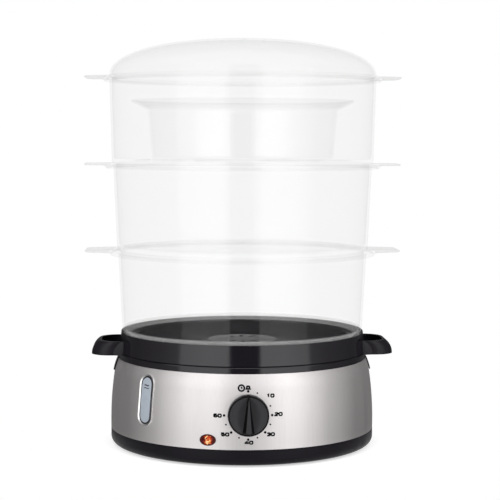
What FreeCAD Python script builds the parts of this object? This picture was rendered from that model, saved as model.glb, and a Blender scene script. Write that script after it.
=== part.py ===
"""Three-tier electric food steamer, as a parametric document of separate pieces.

The origin is the middle of the base where it stands, +Z is up and -Y is the front
with the timer knob. Every length is in millimetres and every angle in degrees.
"""
import FreeCAD, Part
import math
import os
import re
import Sketcher
from FreeCAD import Placement, Rotation, Vector

doc = FreeCAD.newDocument("FoodSteamer")

# ------------------------------------------------------------------ driving sizes
SIZES = [
    ("BaseRadius", 123.4, "foot of the black housing"),
    ("HousingBottom", 1.5, "lowest edge of the housing, above the feet"),
    ("HousingWall", 2.4, "moulded wall of the housing"),
    ("HousingGap", 1.0, "from the outside of the steel band to the housing wall"),
    ("CoverRadius", 117.6, "bottom cover"),
    ("CoverTop", 4.2, "top of the bottom cover, where the housing flange starts"),
    ("FlangeThick", 2.4, "flange that the bottom cover screws to"),
    ("FlangeInner", 104.0, "inner edge of that flange"),
    ("ScrewCircle", 111.0, "circle of the four cover screws"),
    ("ScrewTurn", 30.0, "turn of the cover screws from the +X side"),
    ("FootCircle", 84.0, "circle of the four rubber feet"),
    ("FootRadius", 9.0, "rubber foot"),
    ("PillarCircle", 99.5, "circle of the four pillars under the tank"),
    ("PillarTurn", 55.0, "turn of the pillars from the +X side"),
    ("BandRadius", 130.4, "steel band at its foot"),
    ("BandBottom", 17.0, "lower edge of the steel band"),
    ("BandBend", 25.0, "height where the band starts to lean in"),
    ("BandCurve", 315.0, "radius of that lean"),
    ("WaistRadius", 126.9, "steel band below its shoulder"),
    ("WaistHeight", 72.0, "height of the shoulder's start"),
    ("ShoulderCurve", 50.0, "radius of the shoulder"),
    ("BandTopRadius", 122.8, "upper edge of the steel band"),
    ("BandTop", 86.0, "height of that edge"),
    ("BandSheet", 0.6, "steel sheet"),
    ("TankRadius", 90.0, "inside of the water tank"),
    ("TankWall", 2.3, "tank wall"),
    ("TankFloor", 44.0, "top of the tank floor"),
    ("TankShoulder", 78.0, "height where the tank widens"),
    ("TankMouth", 116.0, "inside of the tank at its rim"),
    ("TankRim", 122.4, "outside of the tank rim"),
    ("RimTop", 92.0, "top of the tank rim, where the drip tray sits"),
    ("SeamDeep", 0.9, "bevels that make the seam between the tank rim and the drip tray"),
    ("ElementHole", 33.0, "hole in the tank floor for the heater"),
    ("PlateRadius", 39.0, "stainless plate that carries the heater"),
    ("SealThick", 1.5, "silicone seal under that plate"),
    ("ElementRing", 20.0, "middle line of the heater's ring"),
    ("ElementTube", 3.3, "radius of the heater's tube"),
    ("ElementHeight", 57.0, "height of the heater's ring"),
    ("ElementBend", 8.0, "bend from the heater's ring into its legs"),
    ("StudCircle", 29.0, "circle of the three studs under the plate"),
    ("SteamRingRadius", 43.0, "foot of the steam ring round the heater"),
    ("SteamRingTop", 84.0, "top of the steam ring"),
    ("KnobHeight", 49.6, "height of the timer's shaft"),
    ("KnobRadius", 19.15, "timer knob"),
    ("KnobBack", 130.8, "back of the knob, from the middle of the base"),
    ("KnobDeep", 7.5, "depth of the knob's disc"),
    ("GripDeep", 13.5, "depth of the knob with its grip"),
    ("ShaftRadius", 3.0, "timer shaft"),
    ("TimerFront", 118.2, "front of the timer's plate"),
    ("TimerBack", 95.5, "back of the timer's case"),
    ("TimerPlate", 1.2, "timer's plate"),
    ("TimerLeft", 23.0, "timer's case, to the left of its shaft"),
    ("TimerRight", 33.0, "timer's case, to the right of its shaft"),
    ("TimerHalf", 23.5, "timer's case, above and below its shaft"),
    ("TimerScrews", 13.5, "timer's screws, each side of its shaft"),
    ("GearModule", 1.0, "tooth size of the timer's wheels"),
    ("WheelTeeth", 40.0, "teeth on the wheel of the timer shaft"),
    ("PinionTeeth", 10.0, "teeth on the pinion that it turns"),
    ("LampAngle", 16.5, "lamp, to the left of the knob"),
    ("LampHeight", 25.7, "height of the lamp"),
    ("LampWide", 15.4, "lamp lens, across"),
    ("LampTall", 10.8, "lamp lens, upright"),
    ("WindowAngle", 47.2, "water window, to the left of the knob"),
    ("WindowLow", 35.4, "lower end of the water window"),
    ("WindowHigh", 77.6, "upper end of the water window"),
    ("WindowWide", 12.8, "width of the water window"),
    ("GlandHeight", 27.0, "height of the lead's inlet at the back"),
    ("GlandProud", 9.5, "collar of the inlet, out from the band"),
    ("CollarFoot", 122.0, "drip tray collar at its foot"),
    ("CollarRadius", 120.2, "drip tray collar at its top"),
    ("CollarTop", 112.0, "height of that top"),
    ("TrayWall", 2.3, "drip tray wall"),
    ("DishRadius", 108.8, "outside of the tray's dish"),
    ("DishBottom", 88.0, "underside of the tray's dish"),
    ("LedgeTop", 107.0, "ledge in the collar that carries the first basket"),
    ("ChimneyRadius", 34.0, "steam chimney in the middle of the tray"),
    ("ChimneyTop", 103.0, "top of the chimney"),
    ("HandleReach", 149.0, "tip of the tray's handles"),
    ("HandleTop", 104.0, "rim of the handle scoops"),
    ("HandleBottom", 90.5, "underside of the handles"),
    ("HandleHalf", 29.0, "half width of a handle"),
    ("HandleFlare", 23.0, "how far a handle widens where it meets the collar"),
    ("BasketWall", 2.0, "wall of baskets, bowl and lid"),
    ("TierPitch", 85.0, "rise from one tier to the next"),
    ("FirstRim", 193.0, "rim of the first basket"),
    ("FirstFoot", 119.3, "first basket above its rounded foot"),
    ("FirstRound", 10.8, "radius of that rounded foot"),
    ("FirstTop", 123.0, "first basket at its rim"),
    ("SecondFoot", 124.0, "second basket at its foot"),
    ("SecondTop", 127.6, "second basket at its rim"),
    ("ThirdFoot", 129.0, "third basket at its foot"),
    ("ThirdTop", 131.2, "third basket at its rim"),
    ("FirstFlange", 131.5, "flange of the first basket"),
    ("SecondFlange", 135.2, "flange of the second basket"),
    ("ThirdFlange", 136.4, "flange of the third basket"),
    ("LipDrop", 5.0, "turned-down lip of a flange"),
    ("NestDrop", 4.5, "locating ring below a basket or the lid"),
    ("NestGap", 0.8, "room round a locating ring"),
    ("FloorRise", 4.0, "top of a basket's floor above its foot"),
    ("WingTip", 155.2, "tip of a basket's side handles"),
    ("WingRoot", 38.0, "half width of a side handle at the wall"),
    ("WingEnd", 24.0, "half width of a side handle near its tip"),
    ("SlotWide", 4.0, "steam slot in a basket's floor"),
    ("BowlFoot", 89.8, "rice bowl at its foot"),
    ("BowlNeck", 93.8, "rice bowl below its rim"),
    ("BowlRim", 109.8, "rice bowl at its rim"),
    ("BowlNeckRise", 49.5, "neck of the rice bowl above its foot"),
    ("BowlRimRise", 56.3, "rim of the rice bowl above its foot"),
    ("LidRadius", 131.4, "lid at its rim"),
    ("LidRise", 36.8, "height of the lid's dome"),
    ("LidPower", 2.2, "squareness of the dome: 2 is an ellipse"),
]
sheet = doc.addObject("Spreadsheet::Sheet", "Sizes")
for row, (alias, number, meaning) in enumerate(SIZES, start=1):
    sheet.set(f"A{row}", alias)
    sheet.set(f"B{row}", str(number))
    sheet.set(f"C{row}", meaning)
    sheet.setAlias(f"B{row}", alias)
doc.recompute()
probe = doc.addObject("App::FeaturePython", "Probe")
pieces = {}


# ------------------------------------------------------------------ drawing helpers
def bound(expression):
    """Point every size name in an expression at the sheet."""
    return re.sub(r"\b([A-Z][A-Za-z]+)", r"Sizes.\1", str(expression))


def value(expression):
    """The number that an expression of size names comes to."""
    return float(probe.evalExpression(bound(expression)))


def hold(sketch, constraint, expression):
    """Add a sketch constraint and bind its size to an expression."""
    index = sketch.addConstraint(constraint)
    sketch.setExpression(f"Constraints[{index}]", bound(expression))


def pin(sketch, edge, end, across, up):
    """Fix a sketch point by its two coordinates, each an expression."""
    for kind, expression, axis in (("DistanceX", across, -2), ("DistanceY", up, -1)):
        if abs(value(expression)) < 1e-9:
            sketch.addConstraint(Sketcher.Constraint("PointOnObject", edge, end, axis))
        else:
            distance = Sketcher.Constraint(kind, -1, 1, edge, end, value(expression))
            hold(sketch, distance, expression)


def arc_between(first, last, turn, radius):
    """The shorter arc of a radius from first to last, turning left or right."""
    chord = last.sub(first)
    side = Vector(-chord.y, chord.x, 0).normalize()
    if turn == "right":
        side = side.negative()
    rise = math.sqrt(max(radius ** 2 - chord.Length ** 2 / 4, 0))
    centre = first.add(chord.multiply(0.5)).add(side.multiply(rise))
    start, end = (first, last) if turn == "left" else (last, first)
    angles = [math.atan2(p.y - centre.y, p.x - centre.x) for p in (start, end)]
    return Part.ArcOfCircle(Part.Circle(centre, Vector(0, 0, 1), radius), *angles)


def draw_loop(sketch, points):
    """Draw a closed outline: (x, y) ends a straight line, (x, y, turn, radius) an arc.

    A round end that turns left through half a circle is written (x, y, "half").
    """
    spots = [Vector(value(p[0]), value(p[1]), 0) for p in points]
    base = sketch.GeometryCount
    ends = []
    for number, target in enumerate(points):
        last, first = spots[number], spots[number - 1]
        if len(target) == 2:
            sketch.addGeometry(Part.LineSegment(first, last), False)
            ends.append((1, 2))
        elif len(target) == 3:
            radius = last.sub(first).Length / 2
            sketch.addGeometry(arc_between(first, Vector(last), "left", radius), False)
            ends.append((1, 2))
        else:
            arc = arc_between(first, Vector(last), target[2], value(target[3]))
            sketch.addGeometry(arc, False)
            ends.append((1, 2) if target[2] == "left" else (2, 1))
    for number, target in enumerate(points):
        edge, following = base + number, base + (number + 1) % len(points)
        joined = (edge, ends[number][1], following, ends[(number + 1) % len(points)][0])
        sketch.addConstraint(Sketcher.Constraint("Coincident", *joined))
        pin(sketch, edge, ends[number][1], target[0], target[1])
        if len(target) == 3:
            level = abs(spots[number].y - spots[number - 1].y) < 1e-6
            kind, place = ("DistanceY", target[1]) if level else ("DistanceX", target[0])
            middle = Sketcher.Constraint(kind, -1, 1, edge, 3, value(place))
            hold(sketch, middle, place)
        if len(target) == 4:
            radius = Sketcher.Constraint("Radius", edge, value(target[3]))
            hold(sketch, radius, target[3])


def draw_circle(sketch, across, up, radius):
    """Draw a circle from expressions of its middle and its radius."""
    middle = Vector(value(across), value(up), 0)
    edge = sketch.addGeometry(Part.Circle(middle, Vector(0, 0, 1), value(radius)), False)
    pin(sketch, edge, 3, across, up)
    hold(sketch, Sketcher.Constraint("Radius", edge, value(radius)), radius)


def new_body(label):
    return doc.addObject("PartDesign::Body", label + "_body")


def new_sketch(body, name, role, loops, rise="0"):
    """A sketch on one of the body's own planes, raised along that plane's normal."""
    plane = [item for item in body.Origin.OriginFeatures if item.Role == role][0]
    sketch = body.newObject("Sketcher::SketchObject", name)
    sketch.AttachmentSupport = (plane, [""])
    sketch.MapMode = "FlatFace"
    sketch.setExpression(".AttachmentOffset.Base.z", bound(rise))
    for loop in loops:
        if loop[0] == "circle":
            draw_circle(sketch, *loop[1:])
        else:
            draw_loop(sketch, loop)
    return sketch


def turned(label, points):
    """A body turned about its upright axis from an outline of radius and height."""
    body = new_body(label)
    sketch = new_sketch(body, label + "_outline", "XZ_Plane", [points])
    turning = body.newObject("PartDesign::Revolution", label + "_turning")
    turning.Profile = sketch
    turning.ReferenceAxis = (sketch, ["V_Axis"])
    turning.Angle = 360
    return body


def raised(label, role, loops, start, length):
    """A body padded from an outline on a plane, from a distance along its normal."""
    body = new_body(label)
    sketch = new_sketch(body, label + "_outline", role, loops, start)
    pad = body.newObject("PartDesign::Pad", label + "_pad")
    pad.Profile = sketch
    pad.setExpression("Length", bound(length))
    return body


def upright(label, loops, start, length):
    """A body padded upwards from an outline seen from above."""
    return raised(label, "XY_Plane", loops, start, length)


def facing(label, loops, near, far):
    """A body padded towards the front from an outline seen from the front."""
    return raised(label, "XZ_Plane", loops, near, f"{far} - ({near})")


def swing(item, angle):
    """Swing a piece drawn at the front round the upright axis, to the left."""
    item.Placement = Placement(Vector(), Rotation(Vector(0, 0, -1), value(angle)))
    item.setExpression(".Placement.Rotation.Angle", bound(angle))
    return item


def shift(item, across="0", back="0", up="0"):
    """Bind where an item stands."""
    for axis, expression in (("x", across), ("y", back), ("z", up)):
        item.setExpression(f".Placement.Base.{axis}", bound(expression))
    return item


def rod(name, radius, length, across="0", back="0", up="0", pointing="up"):
    """A cylinder that points up, or to the front of the steamer."""
    item = doc.addObject("Part::Cylinder", name)
    item.setExpression("Radius", bound(radius))
    item.setExpression("Height", bound(length))
    if pointing == "front":
        item.Placement = Placement(Vector(), Rotation(Vector(1, 0, 0), 90))
    if pointing == "right":
        item.Placement = Placement(Vector(), Rotation(Vector(0, 1, 0), 90))
    return shift(item, across, back, up)


def block(name, wide, deep, tall, across="0", back="0", up="0"):
    """A box with its middle at (across, back) and its underside at up."""
    item = doc.addObject("Part::Box", name)
    for side, size in (("Length", wide), ("Width", deep), ("Height", tall)):
        item.setExpression(side, bound(size))
    return shift(item, f"{across} - ({wide}) / 2", f"{back} - ({deep}) / 2", up)


def round_about(maker, count, radius, first="0"):
    """Make one item for each of count places evenly round a circle."""
    items = []
    for number in range(count):
        angle = f"({first} + {360 * number / count})"
        items.append(maker(number, f"({radius}) * cos{angle}", f"({radius}) * sin{angle}"))
    return items


def joined(label, items):
    fusion = doc.addObject("Part::MultiFuse", label + "_joined")
    fusion.Shapes = items
    return fusion


def grouped(label, items):
    group = doc.addObject("Part::Compound", label + "_group")
    group.Links = items
    return group


def cut_away(label, base, tools):
    """Take one or more tools out of a base."""
    difference = doc.addObject("Part::Cut", label + "_cut")
    difference.Base = base
    difference.Tool = tools[0] if len(tools) == 1 else joined(label + "_tools", tools)
    return difference


def shared(label, first, second):
    overlap = doc.addObject("Part::Common", label + "_common")
    overlap.Base = first
    overlap.Tool = second
    return overlap


def made(label, shape):
    """A piece whose shape is worked out here from the sheet."""
    item = doc.addObject("Part::Feature", label + "_shape")
    item.Shape = shape
    return item


def keep(label, item):
    """Enter a finished piece under its own label."""
    item.Label = label
    pieces[label] = item


# ------------------------------------------------------------------ shared outlines
def band_rise(inset):
    """Upward run of the band's outline, moved in by inset."""
    return [
        (f"BandRadius - ({inset})", "BandBend"),
        (f"WaistRadius - ({inset})", "WaistHeight", "left", "BandCurve"),
        (f"BandTopRadius - ({inset})", "BandTop", "left", "ShoulderCurve"),
    ]


def band_fall(inset):
    """The same run, downward."""
    return [
        (f"BandTopRadius - ({inset})", "BandTop"),
        (f"WaistRadius - ({inset})", "WaistHeight", "right", "ShoulderCurve"),
        (f"BandRadius - ({inset})", "BandBend", "right", "BandCurve"),
    ]


def stadium(wide, low, high):
    """Upright slot with round ends, centred left to right."""
    half = f"({wide}) / 2"
    return [
        (f"0 - {half}", f"{low} + {half}"),
        (half, f"{low} + {half}", "half"),
        (half, f"{high} - {half}"),
        (f"0 - {half}", f"{high} - {half}", "half"),
    ]


def band_core(label, inset):
    """Solid inside the band's outline, moved in by inset."""
    return turned(label, [("0", "BandBottom"), (f"BandRadius - ({inset})", "BandBottom")]
                  + band_rise(inset) + [("0", "BandTop")])


def gauge_rods(label, radius, near, far):
    """The two rods that run between the tank and the water window."""
    loops = [("circle", "0", up, radius) for up in ("TankFloor + 8", "TankShoulder - 8")]
    return swing(facing(label, loops, near, far), "WindowAngle")


def oval(wide, tall, up):
    """Flat oval with round ends, lying on its side."""
    half = f"({tall}) / 2"
    run = f"(({wide}) - ({tall})) / 2"
    return [
        (run, f"{up} - {half}"),
        (run, f"{up} + {half}", "half"),
        (f"0 - {run}", f"{up} + {half}"),
        (f"0 - {run}", f"{up} - {half}", "half"),
    ]


# ------------------------------------------------------------------ base: outer shell
def base_housing():
    wall = "HousingGap + HousingWall"
    shell = turned("base_housing", [
        ("CoverRadius + 0.4", "HousingBottom"),
        ("BaseRadius", "HousingBottom"),
        ("BandRadius", "HousingBottom + BandRadius - BaseRadius", "left",
         "BandRadius - BaseRadius"),
        ("BandRadius", "BandBottom"),
        ("BandRadius - HousingGap", "BandBottom"),
        *band_rise("HousingGap"),
        *band_fall(wall),
        (f"BandRadius - ({wall})", "HousingBottom + 12"),
        ("BaseRadius", "CoverTop + FlangeThick", "right", "12"),
        ("FlangeInner", "CoverTop + FlangeThick"),
        ("FlangeInner", "CoverTop"),
        ("CoverRadius + 0.4", "CoverTop"),
    ])
    flange = "CoverTop + FlangeThick - 0.5"
    bosses = round_about(
        lambda n, x, y: rod(f"cover_boss_{n}", "4", "9", x, y, flange), 4, "ScrewCircle", "ScrewTurn")
    pillars = round_about(
        lambda n, x, y: rod(f"tank_pillar_{n}", "5", "28 - CoverTop", x, y, "CoverTop"),
        4, "PillarCircle", "PillarTurn")
    webs = round_about(
        lambda n, x, y: rod(f"pillar_web_{n}", "5", "FlangeThick", x, y, "CoverTop"),
        4, "PillarCircle + 3.5", "PillarTurn")
    posts = [rod(f"timer_post_{side}", "3.6", "BandRadius - HousingGap - 2 - TimerFront",
                 f"{side} * TimerScrews", "0 - TimerFront", "KnobHeight", "front") for side in (-1, 1)]
    whole = joined("base_housing_mouldings", [shell] + bosses + pillars + webs + posts)
    holes = round_about(
        lambda n, x, y: rod(f"cover_pilot_{n}", "1.5", "9", x, y, "CoverTop - 0.1"),
        4, "ScrewCircle", "ScrewTurn")
    for bore, radius, length in (("narrow", "1.9", "30"), ("wide", "3.8", "27 - CoverTop")):
        holes += round_about(
            lambda n, x, y: rod(f"{bore}_bore_{n}", radius, length, x, y, "CoverTop - 1"),
            4, "PillarCircle", "PillarTurn")
    holes += [rod(f"timer_pilot_{side}", "1.5", "14", f"{side} * TimerScrews",
                  "0 - TimerFront + 1",
                  "KnobHeight", "front") for side in (-1, 1)]
    holes += [
        rod("shaft_way", "5", "20", "0", "0 - TimerFront + 1", "KnobHeight", "front"),
        swing(facing("gland_way", [gland_stem()], "TimerFront", "BandRadius + 5"), "180"),
        swing(facing("lamp_way", [oval("LampWide - 2.4", "LampTall - 2.4", "LampHeight")],
                     "TimerFront", "BandRadius + 5"), "LampAngle"),
        swing(facing("window_way", [stadium("WindowWide + 1", "WindowLow - 0.5",
                                            "WindowHigh + 0.5")],
                     "TimerFront - 5", "BandRadius + 5"), "WindowAngle"),
    ]
    keep("base_housing", cut_away("base_housing", whole, holes))


def steel_band():
    sheet_band = turned("steel_band", [
        ("BandRadius - BandSheet", "BandBottom"), ("BandRadius", "BandBottom"),
        *band_rise("0"), *band_fall("BandSheet"),
    ])
    ways = [
        rod("band_shaft_way", "4.2", "20", "0", "0 - TimerFront", "KnobHeight", "front"),
        rod("band_gland_way", "8", "20", "0", "BandRadius + 5", "GlandHeight", "front"),
        swing(facing("band_lamp_way", [oval("LampWide - 2", "LampTall - 2", "LampHeight")],
                     "TimerFront", "BandRadius + 5"), "LampAngle"),
        swing(facing("band_window_way", [stadium("WindowWide + 1.6", "WindowLow - 0.8",
                                                 "WindowHigh + 0.8")],
                     "TimerFront - 5", "BandRadius + 5"), "WindowAngle"),
    ]
    ways += [rod(f"band_screw_way_{side}", "1.6", "20", f"{side} * TimerScrews", "0 - TimerFront",
                 "KnobHeight", "front") for side in (-1, 1)]
    keep("steel_band", cut_away("steel_band", sheet_band, ways))


def bottom_cover():
    disc = upright("bottom_cover", [("circle", "0", "0", "CoverRadius")],
                   "CoverTop - 2.4", "2.4")
    cover_low = "CoverTop - 3"
    holes = round_about(
        lambda n, x, y: rod(f"cover_hole_{n}", "1.7", "4", x, y, cover_low),
        4, "ScrewCircle", "ScrewTurn")
    holes += round_about(
        lambda n, x, y: rod(f"foot_hole_{n}", "3.5", "4", x, y, cover_low),
        4, "FootCircle", "45")
    holes += [block(f"air_slot_{n}", "34", "3", "4", "0", f"{10 * n}", cover_low)
              for n in range(-3, 4)]
    keep("bottom_cover", cut_away("bottom_cover", disc, holes))


def rubber_feet():
    def foot(n, x, y):
        pad = rod(f"foot_pad_{n}", "FootRadius", "CoverTop - 2.4", x, y, "0")
        stem = rod(f"foot_stem_{n}", "3.5", "4", x, y, "0.5")
        cap = rod(f"foot_cap_{n}", "5", "1.6", x, y, "CoverTop")
        return joined(f"foot_{n}", [pad, stem, cap])
    keep("rubber_feet", grouped("rubber_feet", round_about(foot, 4, "FootCircle", "45")))


def cover_screws():
    def screw(n, x, y):
        head = rod(f"cover_head_{n}", "3", "1.5", x, y, "CoverTop - 2.4 - 1.5")
        shank = rod(f"cover_shank_{n}", "1.5", "10", x, y, "CoverTop - 2.4 - 1")
        return joined(f"cover_screw_{n}", [head, shank])
    keep("cover_screws", grouped("cover_screws", round_about(screw, 4, "ScrewCircle",
                                                            "ScrewTurn")))


def tank_screws():
    def screw(n, x, y):
        head = rod(f"tank_head_{n}", "3.6", "2", x, y, "24")
        shank = rod(f"tank_shank_{n}", "1.6", "15", x, y, "25")
        return joined(f"tank_screw_{n}", [head, shank])
    screws = round_about(screw, 4, "PillarCircle", "PillarTurn")
    keep("tank_screws", grouped("tank_screws", screws))


# ------------------------------------------------------------------ base: water tank
def water_tank():
    out = "TankWall"
    bowl = turned("water_tank", [
        ("ElementHole", f"TankFloor - {out}"),
        (f"TankRadius + {out} - 8", f"TankFloor - {out}"),
        (f"TankRadius + {out}", f"TankFloor - {out} + 8", "left", "8"),
        (f"TankRadius + {out}", "TankShoulder"),
        (f"TankMouth + {out}", "BandTop"),
        ("TankRim", "BandTop"),
        ("TankRim", "RimTop - SeamDeep"),
        ("TankRim - SeamDeep", "RimTop"),
        ("TankRim - 3.4", "RimTop"),
        ("TankMouth", "RimTop - 3.4"),
        ("TankMouth - 1", "BandTop"),
        ("TankRadius", "TankShoulder"),
        ("TankRadius", "TankFloor + 6"),
        ("TankRadius - 6", "TankFloor", "right", "6"),
        ("ElementHole", "TankFloor"),
    ])
    bosses = round_about(
        lambda n, x, y: rod(f"tank_boss_{n}", "4.5", "28", x, y, "28"),
        4, "PillarCircle", "PillarTurn")
    web = box_outline("0 - PillarCircle", "PillarCircle", "-1.2", "1.2")
    webs = [swing(upright(f"boss_web_{way}", [web], "TankFloor - 1", "10"),
                  f"{way} - PillarTurn") for way in (90, 180)]
    inside = rod("boss_web_room", "TankRadius + TankWall - 0.5", "100")
    ribs = cut_away("boss_ribs", joined("boss_webs", webs), [inside])
    tabs = [turned("spill_tab_ring", [
        ("BandTopRadius + 0.2", "BandTop"), ("WaistRadius", "WaistHeight + 2",
                                             "right", "ShoulderCurve"),
        ("WaistRadius + 1.1", "WaistHeight + 2"),
        ("BandTopRadius + 1.3", "BandTop", "left", "ShoulderCurve"),
        ("BandTopRadius + 0.9", "BandTop + 0.6"), ("TankRim - 0.5", "BandTop + 0.6"),
        ("TankRim - 0.5", "BandTop"),
    ])]
    side_room = block("spill_tab_width", "300", "26", "40", "0", "0", "WaistHeight - 5")
    side_tabs = shared("spill_tabs", tabs[0], side_room)
    whole = joined("water_tank_mouldings", [bowl] + bosses + [ribs, side_tabs])
    holes = round_about(
        lambda n, x, y: rod(f"boss_pilot_{n}", "1.6", "14", x, y, "27"),
        4, "PillarCircle", "PillarTurn")
    holes.append(gauge_rods("gauge_hole", "4", "TankRadius - 6", "TankRadius + 6"))
    keep("water_tank", cut_away("water_tank", whole, holes))


def box_outline(left, right, low, high):
    return [(left, low), (right, low), (right, high), (left, high)]


def bezel(label, flange, stem, proud, near):
    """A flange that lies on the band, proud of it, and its stem through the wall."""
    front = shared(label + "_front", facing(label + "_face", flange, near, "BandRadius + 9"),
                   band_core(label + "_proud", f"0 - {proud}"))
    front = cut_away(label + "_flange", front, [band_core(label + "_seat", "0")])
    back = shared(label + "_stem", facing(label + "_neck", stem, near, "BandRadius + 9"),
                  band_core(label + "_skin", "0"))
    return joined(label, [front, back])


def water_window():
    prism = facing("window_prism", [stadium("WindowWide", "WindowLow", "WindowHigh")],
                   "TimerFront - 6", "BandRadius + 5")
    room = facing("window_room", [stadium("WindowWide - 4", "WindowLow + 2",
                                          "WindowHigh - 2")],
                  "TimerFront - 4", "BandRadius + 5")
    outside = swing(shared("window_outside", prism, band_core("window_skin", "0 - 0.4")),
                    "WindowAngle")
    inside = swing(shared("window_inside", room, band_core("window_lining", "1.8")),
                   "WindowAngle")
    stubs = gauge_rods("window_stubs", "3.9", "TankRadius", "TimerFront - 5")
    bores = gauge_rods("window_bores", "2.5", "TankRadius - 1", "TimerFront - 3")
    keep("water_window", cut_away("water_window", joined("window_moulding",
                                                         [outside, stubs]), [inside, bores]))


def window_frame():
    ring = bezel("window_ring",
                 [stadium("WindowWide + 3", "WindowLow - 1.5", "WindowHigh + 1.5")],
                 [stadium("WindowWide + 1", "WindowLow - 0.5", "WindowHigh + 0.5")],
                 "0.6", "TimerFront + 1")
    way = facing("frame_way", [stadium("WindowWide", "WindowLow", "WindowHigh")],
                 "TimerFront", "BandRadius + 9")
    keep("window_frame", swing(cut_away("window_frame", ring, [way]), "WindowAngle"))


def gauge_seals():
    loops = []
    for up in ("TankFloor + 8", "TankShoulder - 8"):
        loops += [("circle", "0", up, "6"), ("circle", "0", up, "3.9")]
    ring = facing("gauge_seals", loops, "TankRadius + TankWall", "TankRadius + 5")
    keep("gauge_seals", swing(ring, "WindowAngle"))


def lamp():
    lens = bezel("lamp_lens", [oval("LampWide", "LampTall", "LampHeight")],
                 [oval("LampWide - 2.4", "LampTall - 2.4", "LampHeight")],
                 "2", "BandRadius - 8")
    keep("lamp_lens", swing(lens, "LampAngle"))
    neon = facing("neon_lamp", [("circle", "0", "LampHeight", "2.8")],
                  "BandRadius - 24", "BandRadius - 9")
    keep("neon_lamp", swing(neon, "LampAngle"))
    sleeve = facing("lamp_sleeve", [("circle", "0", "LampHeight", "4.1"),
                                    ("circle", "0", "LampHeight", "2.8")],
                    "BandRadius - 22", "BandRadius - 8")
    keep("lamp_sleeve", swing(sleeve, "LampAngle"))


def gland_stem():
    """Outline of the gland's neck: square, so that the gland can't turn in the wall."""
    return box_outline("-5.4", "5.4", "GlandHeight - 5.4", "GlandHeight + 5.4")


def cord_gland():
    gland = bezel("gland", [("circle", "0", "GlandHeight", "9")], [gland_stem()],
                  "2", "BandRadius - 7")
    collar = facing("gland_collar", [("circle", "0", "GlandHeight", "5.4")],
                    "BandRadius - 2", "BandRadius + GlandProud")
    bore = facing("gland_bore", [("circle", "0", "GlandHeight", "3.6")],
                  "TimerFront", "BandRadius + GlandProud + 1")
    keep("cord_gland", swing(cut_away("cord_gland", joined("gland_moulding", [gland, collar]),
                                      [bore]), "180"))


# ------------------------------------------------------------------ base: heater
def heater():
    plate_low = "TankFloor + SealThick"
    seal = turned("element_seal", box_outline("ElementHole + 0.2", "PlateRadius",
                                              "TankFloor", plate_low))
    keep("element_seal", seal)
    disc = turned("element_disc", box_outline("0", "PlateRadius", plate_low,
                                              f"{plate_low} + 1.2"))
    studs = round_about(lambda n, x, y: rod(f"stud_{n}", "2", f"{plate_low} - 32.9", x, y,
                                            "33"), 3, "StudCircle", "90")
    legs = [rod(f"leg_way_{side}", "ElementTube", "20", across, back, "TankFloor - 5")
            for side, across, back in element_legs()]
    keep("element_plate", cut_away("element_plate", joined("plate_studs", [disc] + studs),
                                   legs))
    ring = upright("element_clamp", [("circle", "0", "0", "PlateRadius"),
                                     ("circle", "0", "0", "StudCircle - 3")],
                   "TankFloor - TankWall - 2", "2")
    holes = round_about(lambda n, x, y: rod(f"clamp_hole_{n}", "2", "6", x, y,
                                            "TankFloor - TankWall - 4"), 3, "StudCircle", "90")
    keep("element_clamp", cut_away("element_clamp", ring, holes))
    keep("element_nuts", upright("element_nuts", nut_loops(), "TankFloor - TankWall - 5.2",
                                 "3.2"))
    tag_low = "TankFloor - TankWall - 6"
    tag = block("tag_blade", "8", "20", "0.8", "0", "StudCircle + 4", tag_low)
    keep("earth_tag", cut_away("earth_tag", tag, [rod("tag_hole", "2", "4", "0", "StudCircle",
                                                      f"{tag_low} - 1")]))
    body = rod("thermostat_body", "8", "10", "0", "5", f"{plate_low} - 10")
    blades = [block(f"thermostat_blade_{side}", "0.8", "5", "7", f"{side} * 4", "5",
                    f"{plate_low} - 16") for side in (-1, 1)]
    keep("thermostat", joined("thermostat", [body] + blades))
    keep("thermal_fuse", rod("thermal_fuse", "2", "14", "0 - 7", "0 - 8", f"{plate_low} - 2",
                             "right"))
    pins = [rod(f"terminal_pin_{side}", "1.2", "8", across, back, "22")
            for side, across, back in element_legs()]
    keep("element_pins", grouped("element_pins", pins))


def nut_loops():
    """Three hexagons with round holes, on the circle of the studs."""
    loops = []
    for number in range(3):
        turn = 90 + 120 * number
        across, back = f"StudCircle * cos({turn})", f"StudCircle * sin({turn})"
        loops.append([(f"{across} + 4.04 * cos({60 * corner})",
                       f"{back} + 4.04 * sin({60 * corner})") for corner in range(6)])
        loops.append(("circle", across, back, "2"))
    return loops


def element_legs():
    """Where the heater's two legs go down through the plate."""
    reach = "(ElementRing + ElementBend) * cos(45)"
    return ((1, "(ElementRing - ElementBend) * cos(45)", f"0 - {reach}"),
            (-1, "(ElementBend - ElementRing) * cos(45)", f"0 - {reach}"))


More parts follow.
